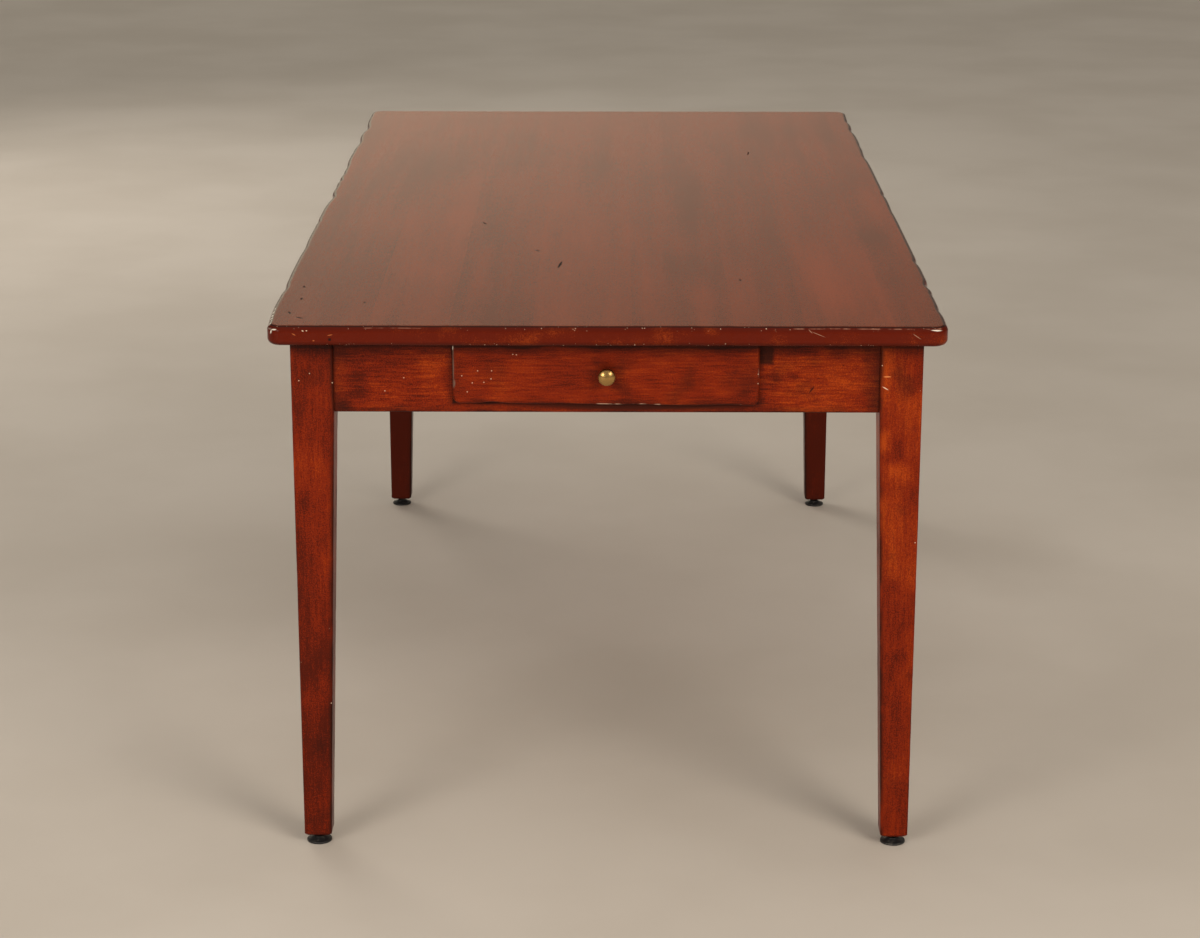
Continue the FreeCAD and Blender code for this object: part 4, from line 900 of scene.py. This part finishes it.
def knob_surface(middle):
    """Base, cove, back, rim and crown as a turned profile, then laid over so that its height runs along -Y.

    The crown and the back are shallow arcs about the axis, joined by the rim's tighter arc.
    """
    rim_turn = math.asin((KNOB_BALL - KNOB_RIM) / (KNOB_CROWN - KNOB_RIM))
    neck_turn = math.asin(KNOB_NECK / KNOB_CROWN)
    lift = (KNOB_CROWN - KNOB_RIM) * math.cos(rim_turn)
    widest = KNOB_PROJECTION - KNOB_CROWN + lift
    rim_degrees, neck_degrees = math.degrees(rim_turn), math.degrees(neck_turn)
    back = arc((0, widest + lift), KNOB_CROWN, neck_degrees - 90, rim_degrees - 90, KNOB_POINTS)
    rim = arc((KNOB_BALL - KNOB_RIM, widest), KNOB_RIM, rim_degrees - 90, 90 - rim_degrees, KNOB_POINTS)
    crown = arc((0, widest - lift), KNOB_CROWN, 90 - rim_degrees, 90, KNOB_POINTS)
    share = np.linspace(0, 1, KNOB_POINTS)
    cove = stacked(
        KNOB_NECK + (KNOB_BASE - KNOB_EASE - KNOB_NECK) * (1 - share) ** KNOB_COVE_POWER,
        KNOB_BASE_HEIGHT + (back[0, 1] - KNOB_BASE_HEIGHT) * share,
    )
    base = arc((KNOB_BASE - KNOB_EASE, KNOB_BASE_HEIGHT - KNOB_EASE), KNOB_EASE, 0, 90)
    profile = np.concatenate([[(0, 0), (KNOB_BASE, 0)], base, cove[1:], back[1:], rim[1:], crown[1:]])
    x, y, z = np.moveaxis(turned(*np.hsplit(profile, 2), Vector((0, 0, 0))), -1, 0)
    handled = np.clip(z / KNOB_PROJECTION, 0, 1)
    return stacked(middle.x + x, middle.y - z, middle.z + y, handled)


def aged_brass():
    """Brass that darkens with patches of tarnish away from the handled crown."""
    material, tree, shader, place = finish("aged_brass", Metallic=1.0)
    patch = mottle(tree, place, **TARNISH)
    brown = ease(tree, total(tree, patch, (attribute(tree, "handled"), HANDLED_WEIGHT)), *TARNISH_STEP)
    colour = layer(tree, BRASS_BRIGHT, BRASS_BROWN, brown)
    rough = total(tree, BRASS_ROUGH, (brown, TARNISH_ROUGH))
    feed(tree, shader, colour, rough, patch, BRASS_RELIEF)
    return material


knob = shell("ball_knob", [knob_surface(knob_foot)], ("handled",))
dress(knob, aged_brass(), "drawer", "knob_brass", "drawer_knob")

# Plank top
# Eight cherry boards of unequal width, glued edge to edge and rounded over together. The long edges were
# bitten with a rasp, the ends are dented, and wormholes and a gouge were put in before staining.
TOP_CORNER = 0.022
TOP_ROUNDS = (0.008, 0.007)
TOP_FINE = 0.0013
TOP_COARSE = 0.0065
BOARD_COUNT = 8
BOARD_REDNESS_SHARES = (0.15, 0.5, 0.15, 0.3, 0.0, 0.2, 0.38, 0.2)
FAR_REDNESS_SHARE = 0.85
SIDE_BITES = {"count": 22, "depth": 0.0036, "length": 0.05}
END_BITES = {"count": 18, "depth": 0.0018, "length": 0.02}
BITE_REACH = 0.02
BITE_MARGIN = 0.06
CORNER_WEAR, CORNER_WEAR_REACH = (0.0042, 0.0024), 0.07

boards = [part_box(f"top_board_{number}") for number in range(1, BOARD_COUNT + 1)]
top_low, top_high = boards[0][0], boards[-1][1]
top_half = (top_high.x, top_high.y)
top_thickness = top_high.z - top_low.z
top_skin = skin_width(TOP_CORNER, top_thickness, TOP_ROUNDS[0])
bite_ends = [np.array((BITE_MARGIN - half, half - BITE_MARGIN)) for half in top_half]
side_bites = [knocks(bite_ends[1], **SIDE_BITES) for side in range(2)]
end_bites = [knocks(bite_ends[0], **END_BITES) for end in range(2)]


def bitten(along, across, half, bites):
    """How far a point near the two edges at half is moved in: the bite there, fading away from the edge."""
    depth = np.where(along < 0, bites[0](across), bites[1](across))
    return -np.sign(along) * depth * bell(half - np.abs(along), BITE_REACH)


def corner_wear(depth):
    """A function that gives how far a long edge is worn in towards the drawer's end: half a bell curve."""
    return lambda across: depth * bell(top_half[1] + across, CORNER_WEAR_REACH)


corners_worn = [corner_wear(depth) for depth in CORNER_WEAR]


def board_surface(number):
    """One board of the plate that all the boards make, with a wall down each seam."""
    low, high = boards[number]
    spread = top_half[0] - TOP_CORNER + top_skin
    reach = top_half[1] - TOP_CORNER + top_skin
    ends = [low.x, high.x]
    margins = [0, 0]
    if number == 0:
        ends[0], margins[0] = -spread, top_skin
    if number == BOARD_COUNT - 1:
        ends[1], margins[1] = spread, top_skin
    columns = stations(ends, margins, TOP_FINE, TOP_COARSE)
    rows = stations((-reach, reach), (top_skin, top_skin), TOP_FINE, TOP_COARSE) / reach
    sheets = []
    for sheet in plate(columns, rows, top_half, TOP_CORNER, top_thickness, TOP_ROUNDS):
        x, y, z, arris, edge = np.moveaxis(sheet, -1, 0)
        moved_x = x + bitten(x, y, top_half[0], side_bites) + bitten(x, y, top_half[0], corners_worn)
        moved_y = y + bitten(y, x, top_half[1], end_bites)
        far = (y + top_half[1]) / (2 * top_half[1])
        red = BOARD_REDNESS_SHARES[number] * (1 - far) + FAR_REDNESS_SHARE * far
        z = z + (top_low.z + top_high.z) / 2
        sheets.append(stacked(moved_x, moved_y, z, arris, edge, red))
    seams = [np.stack([sheets[0][:, side], sheets[1][:, side]], axis=1) for side in (0, -1)]
    return sheets + seams


TOP_BROWN = (0.15, 0.0295, 0.0085, 1)
TOP_RED = (0.286, 0.047, 0.011, 1)
EDGE_RED = (0.105, 0.0085, 0.002, 1)
EDGE_ORANGE = (0.28, 0.038, 0.005, 1)
PIT_BLACK = (0.01, 0.004, 0.003, 1)
DENT_DEPTH = 0.004
TOP_DENTS = [
    (-0.068, -0.5, 0.002, 0.026, -6), (-0.424, -0.806, 0.0018, 0.007, 20),
    (-0.408, -0.834, 0.0022, 0.008, 50), (-0.417, -0.722, 0.0018, 0.006, 0),
    (-0.421, -0.648, 0.0017, 0.006, 10), (-0.329, -0.745, 0.0016, 0.005, 0),
    (-0.103, -0.403, 0.0018, 0.009, 30), (0.187, -0.6, 0.0016, 0.006, 10),
    (-0.19, -0.2, 0.0016, 0.01, 20), (0.245, 0.42, 0.0014, 0.016, -5),
]
DENT_RAGGED, DENT_RAGGED_WEIGHT, DENT_STEP = {"per_metre": 300, "detail": 3}, 0.8, (1.4, 1.1)
WORMHOLE = {"Per metre": 16, "Share": 0.3, "Size": 0.0012}
HOLE_FADE = 0.001
EDGE_HOLE = ((-0.3635, -0.885, 0.7445), (0.0022, 0.006, 0.0022))
TOP_SMEARS = [
    (0.118, -0.54, 0.05, 0.17, -0.5), (0.396, -0.31, 0.04, 0.14, -0.5), (0.42, -0.02, 0.028, 0.26, 0.5),
    (-0.01, 0.26, 0.045, 0.25, -0.4), (-0.225, -0.15, 0.05, 0.12, 0.35), (0.31, -0.65, 0.05, 0.25, 0.3),
]
TOP_CLOUD = {"per_metre": 6, "detail": 4, "run": (1, 0.35, 1)}
TOP_BAND = {"per_metre": 28, "detail": 4, "run": (1, 0.05, 1)}
CLOUD_WEIGHT, BAND_WEIGHT, TOP_STREAK_WEIGHT, TOP_SPECKLE_WEIGHT = 1.3, 1.6, 0.6, 1.6
RED_STEP = (2.15, 3.75)
EDGE_FIGURE_WEIGHT = 1.8
EDGE_WARM_STEP = (1.42, 2.05)
EDGE_STEP = (0.03, 0.25)
# Glaze with painted shade darkens the middles of the top's rounds.
ARRIS_GLAZE_AND_SHADE_SHARE, TOP_PORE_SHARE = 0.3, 0.35
# A dark line on the rounds next to the level faces: glaze, with a painted dark reflection.
GLAZE_AND_REFLECTION_LINE_RISE, GLAZE_AND_REFLECTION_LINE_FALL, GLAZE_AND_REFLECTION_LINE_SHARE = (0.0, 0.06), (0.4, 0.2), 0.8
CHIP_CLUSTER = {"per_metre": 7, "detail": 2, "step": (0.42, 0.56)}
CHIP, CHIP_ARRIS = {"Per metre": 320, "Share": 0.32, "Size": 0.0007}, (0.5, 0.85)
HIGHLIGHT_BREAK = {"per_metre": 110, "detail": 6, "step": (0.4, 0.66)}
TOP_ROUGH, TOP_SPECKLE_ROUGH, EDGE_ROUGH, TOP_PIT_ROUGH = 0.16, 0.12, -0.12, 0.3
TOP_PORE_DEPTH, TOP_SPECKLE_HEIGHT = 0.3, 0.09
TOP_RELIEF = {"Strength": 0.3, "Distance": 0.0004}
SCRATCH_PALE = (0.33, 0.17, 0.11, 1)
# Colour of the painted highlight lines on the front arris.
HIGHLIGHT_LINE = (0.3, 0.14, 0.09, 1)
EDGE_AMBER = (0.4, 0.11, 0.03, 1)
front = -top_half[1]
EDGE_MARK_DEPTH = 0.012
# The first three marks are painted highlights on the rounds of the front corners; then flecks, amber marks
# and pale scratch marks.
EDGE_MARKS = upright_marks(
    front, EDGE_MARK_DEPTH,
    (-0.441, 0.7535, 0.0017, 0.0048, 18, CHIP_AND_HIGHLIGHT_WHITE), (-0.437, 0.7572, 0.005, 0.0012, -8, CHIP_AND_HIGHLIGHT_WHITE),
    (0.4325, 0.758, 0.0095, 0.001, 4, CHIP_AND_HIGHLIGHT_WHITE), (-0.3986, 0.7562, 0.0018, 0.0009, 20, FLECK_TAN),
    (-0.3935, 0.7564, 0.0013, 0.0008, 0, FLECK_TAN), (-0.4105, 0.7515, 0.0035, 0.0008, 30, EDGE_AMBER),
    (-0.3846, 0.7431, 0.0016, 0.001, 0, EDGE_AMBER), (-0.363, 0.7505, 0.0045, 0.0007, -12, EDGE_AMBER),
    (0.2668, 0.7567, 0.0042, 0.0006, 45, SCRATCH_PALE), (0.2773, 0.7527, 0.012, 0.0005, 23, SCRATCH_PALE),
    (0.4063, 0.7503, 0.008, 0.0006, 34, SCRATCH_PALE),
)
# Painted highlights: broken pale lines along the front's upper arris, and a white rim along the left long
# edge near the front.
ARRIS_HIGHLIGHTS = [
    ((0.34, front, top_high.z), (0.1, 0.03, 0.02), (0.95, 1), HIGHLIGHT_LINE),
    ((-0.28, front, top_high.z), (0.04, 0.03, 0.02), (0.97, 1), HIGHLIGHT_LINE),
    ((-top_half[0], -0.82, top_high.z), (0.012, 0.06, 0.02), (0.4, 0.7), CHIP_AND_HIGHLIGHT_WHITE),
]


def level(degrees):
    """A turn about Z, in the plane of the top."""
    return (0, 0, math.radians(degrees))


def top_finish():
    """Stained and glazed boards under satin lacquer: red and brown bands, pores, wormholes and one gouge,
    with painted highlights on the front corners and arrises and painted shade and dark reflection on the
    rounds.
    """
    material, tree, shader, place = finish("top_cherry", Specular_IOR_Level=LACQUER_SHEEN)
    grain = use(tree, GRAIN, {"Place": place})
    arris, edge, tone = (attribute(tree, name) for name in ("arris", "edge", "tone"))
    cloud, band, speckle = (mottle(tree, place, **noise) for noise in (TOP_CLOUD, TOP_BAND, SPECKLE))

    red = total(tree, tone, (cloud, CLOUD_WEIGHT), (band, BAND_WEIGHT), (grain["Streak"], TOP_STREAK_WEIGHT),
                (speckle, TOP_SPECKLE_WEIGHT))
    for x, y, wide, long, lift in TOP_SMEARS:
        near = ease(tree, spot(tree, place, (x, y, top_high.z), (wide, long, FAR), level(0)), 1, 0)
        red = total(tree, red, (near, lift))
    colour = layer(tree, TOP_BROWN, TOP_RED, ease(tree, red, *RED_STEP))
    warm = total(tree, speckle, (grain["Figure"], EDGE_FIGURE_WEIGHT))
    rim = layer(tree, EDGE_RED, EDGE_ORANGE, ease(tree, warm, *EDGE_WARM_STEP))
    colour = layer(tree, colour, rim, ease(tree, edge, *EDGE_STEP))
    # Glaze and painted shade on the rounds, then the line of glaze and painted dark reflection.
    colour = layer(tree, colour, GLAZE_AND_SHADE_BLACK, arris, ARRIS_GLAZE_AND_SHADE_SHARE)
    rise, fall = ease(tree, edge, *GLAZE_AND_REFLECTION_LINE_RISE), ease(tree, edge, *GLAZE_AND_REFLECTION_LINE_FALL)
    colour = layer(tree, colour, GLAZE_AND_SHADE_BLACK, rise, fall, GLAZE_AND_REFLECTION_LINE_SHARE)
    colour = layer(tree, colour, PIT_BLACK, grain["Pore"], TOP_PORE_SHARE)
    chip, cluster = speck(tree, place, CHIP), mottle(tree, place, **CHIP_CLUSTER)
    colour = layer(tree, colour, FLECK_TAN, chip, cluster, ease(tree, arris, *CHIP_ARRIS))
    # Lay the painted highlights along the arrises, broken by noise.
    broken = mottle(tree, place, **HIGHLIGHT_BREAK)
    for middle, half, arris_step, bare in ARRIS_HIGHLIGHTS:
        cover = ease(tree, depth_in_box(tree, place, middle, half), 0, BARE_FADE)
        colour = layer(tree, colour, bare, cover, ease(tree, arris, *arris_step), broken)
    colour = marked(tree, place, colour, EDGE_MARKS)
    hollow = ease(tree, depth_in_box(tree, place, *EDGE_HOLE), 0, HOLE_FADE)
    pit = calc(tree, "MAXIMUM", speck(tree, place, WORMHOLE), hollow)
    ragged = mottle(tree, place, **DENT_RAGGED)
    for x, y, wide, long, turn in TOP_DENTS:
        away = spot(tree, place, (x, y, top_high.z), (wide, long, DENT_DEPTH), level(turn))
        away = total(tree, away, (ragged, DENT_RAGGED_WEIGHT))
        pit = calc(tree, "MAXIMUM", pit, ease(tree, away, *DENT_STEP))
    colour = layer(tree, colour, PIT_BLACK, pit)

    rough = total(tree, TOP_ROUGH, (speckle, TOP_SPECKLE_ROUGH), (edge, EDGE_ROUGH), (pit, TOP_PIT_ROUGH))
    low = calc(tree, "MAXIMUM", pit, product(tree, grain["Pore"], TOP_PORE_DEPTH))
    height = calc(tree, "SUBTRACT", product(tree, speckle, TOP_SPECKLE_HEIGHT), low)
    feed(tree, shader, colour, rough, height, TOP_RELIEF)
    return material


top_wood = top_finish()
for number in range(BOARD_COUNT):
    board = shell(f"plank_{number + 1}", board_surface(number), ("arris", "edge", "tone"))
    dress(board, top_wood, "table_frame", "top_wood", f"top_board_{number + 1}")

# Floor, light and camera
# A pale floor in a soft studio: a lit wall behind the table, brighter to the left, an open ceiling, softboxes
# before and behind, and two lamps in front, the only ones that lacquer and brass mirror. The camera stands at
# eye level and looks down along the table from the drawer's end.
FLOOR_REACH = 30.0
FLOOR_PALE = (0.62, 0.57, 0.51, 1)
FLOOR_WARM = (0.56, 0.51, 0.45, 1)
FLOOR_CLOUD = {"per_metre": 1.5, "detail": 5, "step": (0.3, 0.7)}
FLOOR_ROUGH, FLOOR_SHEEN = 0.6, 0.2
GLOW_WALL = (1.92, 1.76, 1.31, 1)
GLOW_ROOM = (0.13, 0.115, 0.1, 1)
GLOW_CEILING = (0.6, 0.56, 0.5, 1)
GLOW_FRONT = (0.42, 0.38, 0.33, 1)
BACKDROP_PALE = (0.235, 0.205, 0.165, 1)
FRONT_SIDE = (-0.15, -0.75)
WALL_RISE = np.sin(np.radians((14.2, 8))).tolist()
WALL_FOOT = np.sin(np.radians((2, 6))).tolist()
CEILING_RISE = np.sin(np.radians((28, 65))).tolist()
WALL_BEHIND = (0.1, 0.7)
WALL_LEFT = (0.42, -0.42)
WALL_END = (-0.5, -0.25)
TINT_LEFT = (1.0, 0.93, 0.84)
TINT_RIGHT = (1.0, 0.91, 0.8)
SOFTBOX = {"size": 2.4, "mirrored": False}
LAMP = {"size": 1.45, "mirrored": True}
LIGHTS = {
    "left_softbox": {"at": (-2.6, -4.2, 1.9), "power": 42, "colour": TINT_LEFT, **SOFTBOX},
    "right_softbox": {"at": (2.7, -4.2, 2.7), "power": 81, "colour": TINT_RIGHT, **SOFTBOX},
    "rear_softbox": {"at": (-2.9, 4.2, 2.9), "power": 85, "colour": TINT_LEFT, **SOFTBOX},
    "left_lamp": {"at": (-2.6, -4.3, 1.9), "power": 49, "colour": TINT_LEFT, **LAMP},
    "right_lamp": {"at": (2.7, -4.3, 2.7), "power": 49, "colour": TINT_RIGHT, **LAMP},
}
LIGHT_AIM = Vector((0, -0.4, 0.5))
CAMERA_PLACE = (0.00639, -4.4745, 1.6240)
CAMERA_YAW, CAMERA_PITCH, CAMERA_ROLL = 0.24, 16.384, 0.06
IMAGE_WIDTH = 1200
FOCAL_PIXELS = 2816.6
SENSOR = 36.0

span = np.linspace(-FLOOR_REACH, FLOOR_REACH, 3)
floor = shell("floor", [stacked(span[None, :], span[:, None], 0)])
pale_floor, tree, shader, place = finish("pale_floor", Roughness=FLOOR_ROUGH, Specular_IOR_Level=FLOOR_SHEEN)
floor_colour = layer(tree, FLOOR_PALE, FLOOR_WARM, mottle(tree, place, **FLOOR_CLOUD))
tree.links.new(floor_colour, shader.inputs["Base Color"])
floor.data.materials.append(pale_floor)

world = bpy.data.worlds.new("studio")
world.use_nodes = True
tree = world.node_tree
way = node(tree, "ShaderNodeTexCoord").outputs["Generated"]
aside, behind, above = node(tree, "ShaderNodeSeparateXYZ", {0: way}).outputs
wall_limits = [(above, WALL_RISE), (behind, WALL_BEHIND), (aside, WALL_LEFT), (aside, WALL_END),
               (above, WALL_FOOT)]
glow = layer(tree, GLOW_ROOM, GLOW_WALL, *[ease(tree, part, *ends) for part, ends in wall_limits])
glow = layer(tree, glow, GLOW_FRONT, ease(tree, behind, *FRONT_SIDE))
glow = layer(tree, glow, GLOW_CEILING, ease(tree, above, *CEILING_RISE))
glow = layer(tree, glow, BACKDROP_PALE, node(tree, "ShaderNodeLightPath").outputs["Is Camera Ray"])
tree.links.new(glow, tree.nodes["Background"].inputs["Color"])
bpy.context.scene.world = world

for name, values in LIGHTS.items():
    light = bpy.data.lights.new(name, "AREA")
    light.size = values["size"]
    light.energy = values["power"]
    light.color = values["colour"]
    stand = bpy.data.objects.new(name, light)
    stand.location = values["at"]
    stand.visible_glossy = values["mirrored"]
    stand.rotation_euler = (LIGHT_AIM - stand.location).to_track_quat("-Z", "Y").to_euler()
    bpy.context.scene.collection.objects.link(stand)

lens = bpy.data.cameras.new("camera")
lens.sensor_width = SENSOR
lens.lens = SENSOR * FOCAL_PIXELS / IMAGE_WIDTH
camera = bpy.data.objects.new("camera", lens)
gaze = Matrix.Translation(CAMERA_PLACE)
for degrees, axis in ((CAMERA_YAW, "Z"), (90 - CAMERA_PITCH, "X"), (CAMERA_ROLL, "Z")):
    gaze = gaze @ Matrix.Rotation(math.radians(degrees), 4, axis)
camera.matrix_world = gaze
bpy.context.scene.collection.objects.link(camera)
bpy.context.scene.camera = camera
bpy.context.scene.view_settings.view_transform = "Standard"
